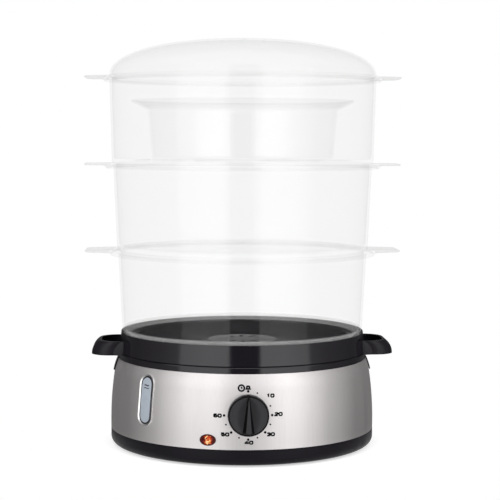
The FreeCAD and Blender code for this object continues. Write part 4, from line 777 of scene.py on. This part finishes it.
def window_ring(name, section):
    """A ring round the window. Each point of its section is a step out from the window's
    round-ended outline and a height proud of the band."""
    lean = np.radians(np.concatenate([np.linspace(0, 180, 33), np.linspace(180, 360, 33)]))
    middle = WINDOW_MIDDLE + WINDOW_RUN * np.repeat([1, -1], 33)
    rows = [on_band((WINDOW_HALF + out) * np.cos(lean),
                    middle + (WINDOW_HALF + out) * np.sin(lean), proud, WINDOW_TURN)
            for out, proud in section]
    quads = woven(len(lean), len(section), ring=True)
    return welded(name, [(np.stack(rows, 1).reshape(-1, 3), quads)])


GASKET_OUT = 1.5
gasket = window_ring("window_gasket", [(0.02, -0.4), (0.02, 0.5), (0.3, 0.6), (1.2, 0.5),
                                       (GASKET_OUT, 0.3), (GASKET_OUT, -0.4)])
gasket.data.materials.append(black_gloss)
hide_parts("window_frame")
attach(gasket, "base")
polished, tree = new_material("polished_stainless")
finish_with(tree, {"Base Color": between(tree, speckle(tree, 400), 0.78, 0.84), "Metallic": 1.0,
                   "Roughness": 0.14})
lip = window_ring("window_lip", [(GASKET_OUT, -0.1), (GASKET_OUT, 0.3), (3.0, 0.95),
                                 (3.05, 0.85), (3.05, -0.1)])
lip.data.materials.append(polished)
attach(lip, "base")
MARK_BASE = 0.4
marks = [stroke([(-3.0, 20.6), (-1.2, 21.2), (1.0, 20.4), (3.0, 21.0)], 1.0, base=MARK_BASE,
                turned=WINDOW_TURN),
         stroke([(-3.4, 18.2), (-1.2, 18.6), (1.2, 17.9), (3.4, 18.4)], 0.7, base=MARK_BASE,
                turned=WINDOW_TURN)]
levels = welded("water_level_marks", marks)
levels.data.materials.append(black_ink)
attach(levels, "base")


# ---------------------------------------------------------------- small parts
# Feet, seals, leads, the timer's works, the heater and the screws keep the part's own
# shapes. They show only with the pieces above them lifted off or from below.
rubber = moulded("black_rubber", ("141414", "1c1c1c"), (0.7, 0.85))
dress(rubber, "rubber_feet")
silicone = moulded("red_silicone", ("a8402c", "b44a34"), (0.5, 0.65))
dress(silicone, "element_seal", "gauge_seals")
nylon = moulded("natural_nylon", ("d8d4c8", "e2dfd4"), (0.35, 0.5))
dress(nylon, "terminal_block", "timer_case", "timer_switch", "thermal_fuse", "internal_leads")


def metal(name, colour, rough):
    """Plain metal between two tones and two roughness limits, clouded by handling."""
    made, tree = new_material(name)
    cloud = speckle(tree, 300, 2)
    tone = node(tree, "Mix", {0: cloud, 6: linear(colour[0]), 7: linear(colour[1])},
                data_type="RGBA")
    finish_with(tree, {"Base Color": tone.outputs[2], "Metallic": 1.0,
                       "Roughness": between(tree, cloud, *rough)})
    return made


dress(metal("zinc_plated_steel", ("bdbdbb", "cfcfcd"), (0.25, 0.38)), "cover_screws",
      "tank_screws", "timer_screws", "terminal_screws", "element_nuts", "timer_plate",
      "timer_shaft", "timer_bell", "element_clamp", "element_plate", "knob_clip", "mainspring")
dress(metal("heater_sheath_steel", ("6f6a62", "8a847a"), (0.35, 0.5)), "heating_element",
      "element_pins")
dress(metal("stamped_brass", ("c9a24e", "d8b565"), (0.25, 0.4)), "timer_wheel", "timer_pinion",
      "earth_tag")
dress(metal("aluminium_can", ("c4c6c8", "d2d4d6"), (0.3, 0.4)), "thermostat")
dress(clear_plastic("lamp_glass", 0.1, "ffe8d8"), "neon_lamp")
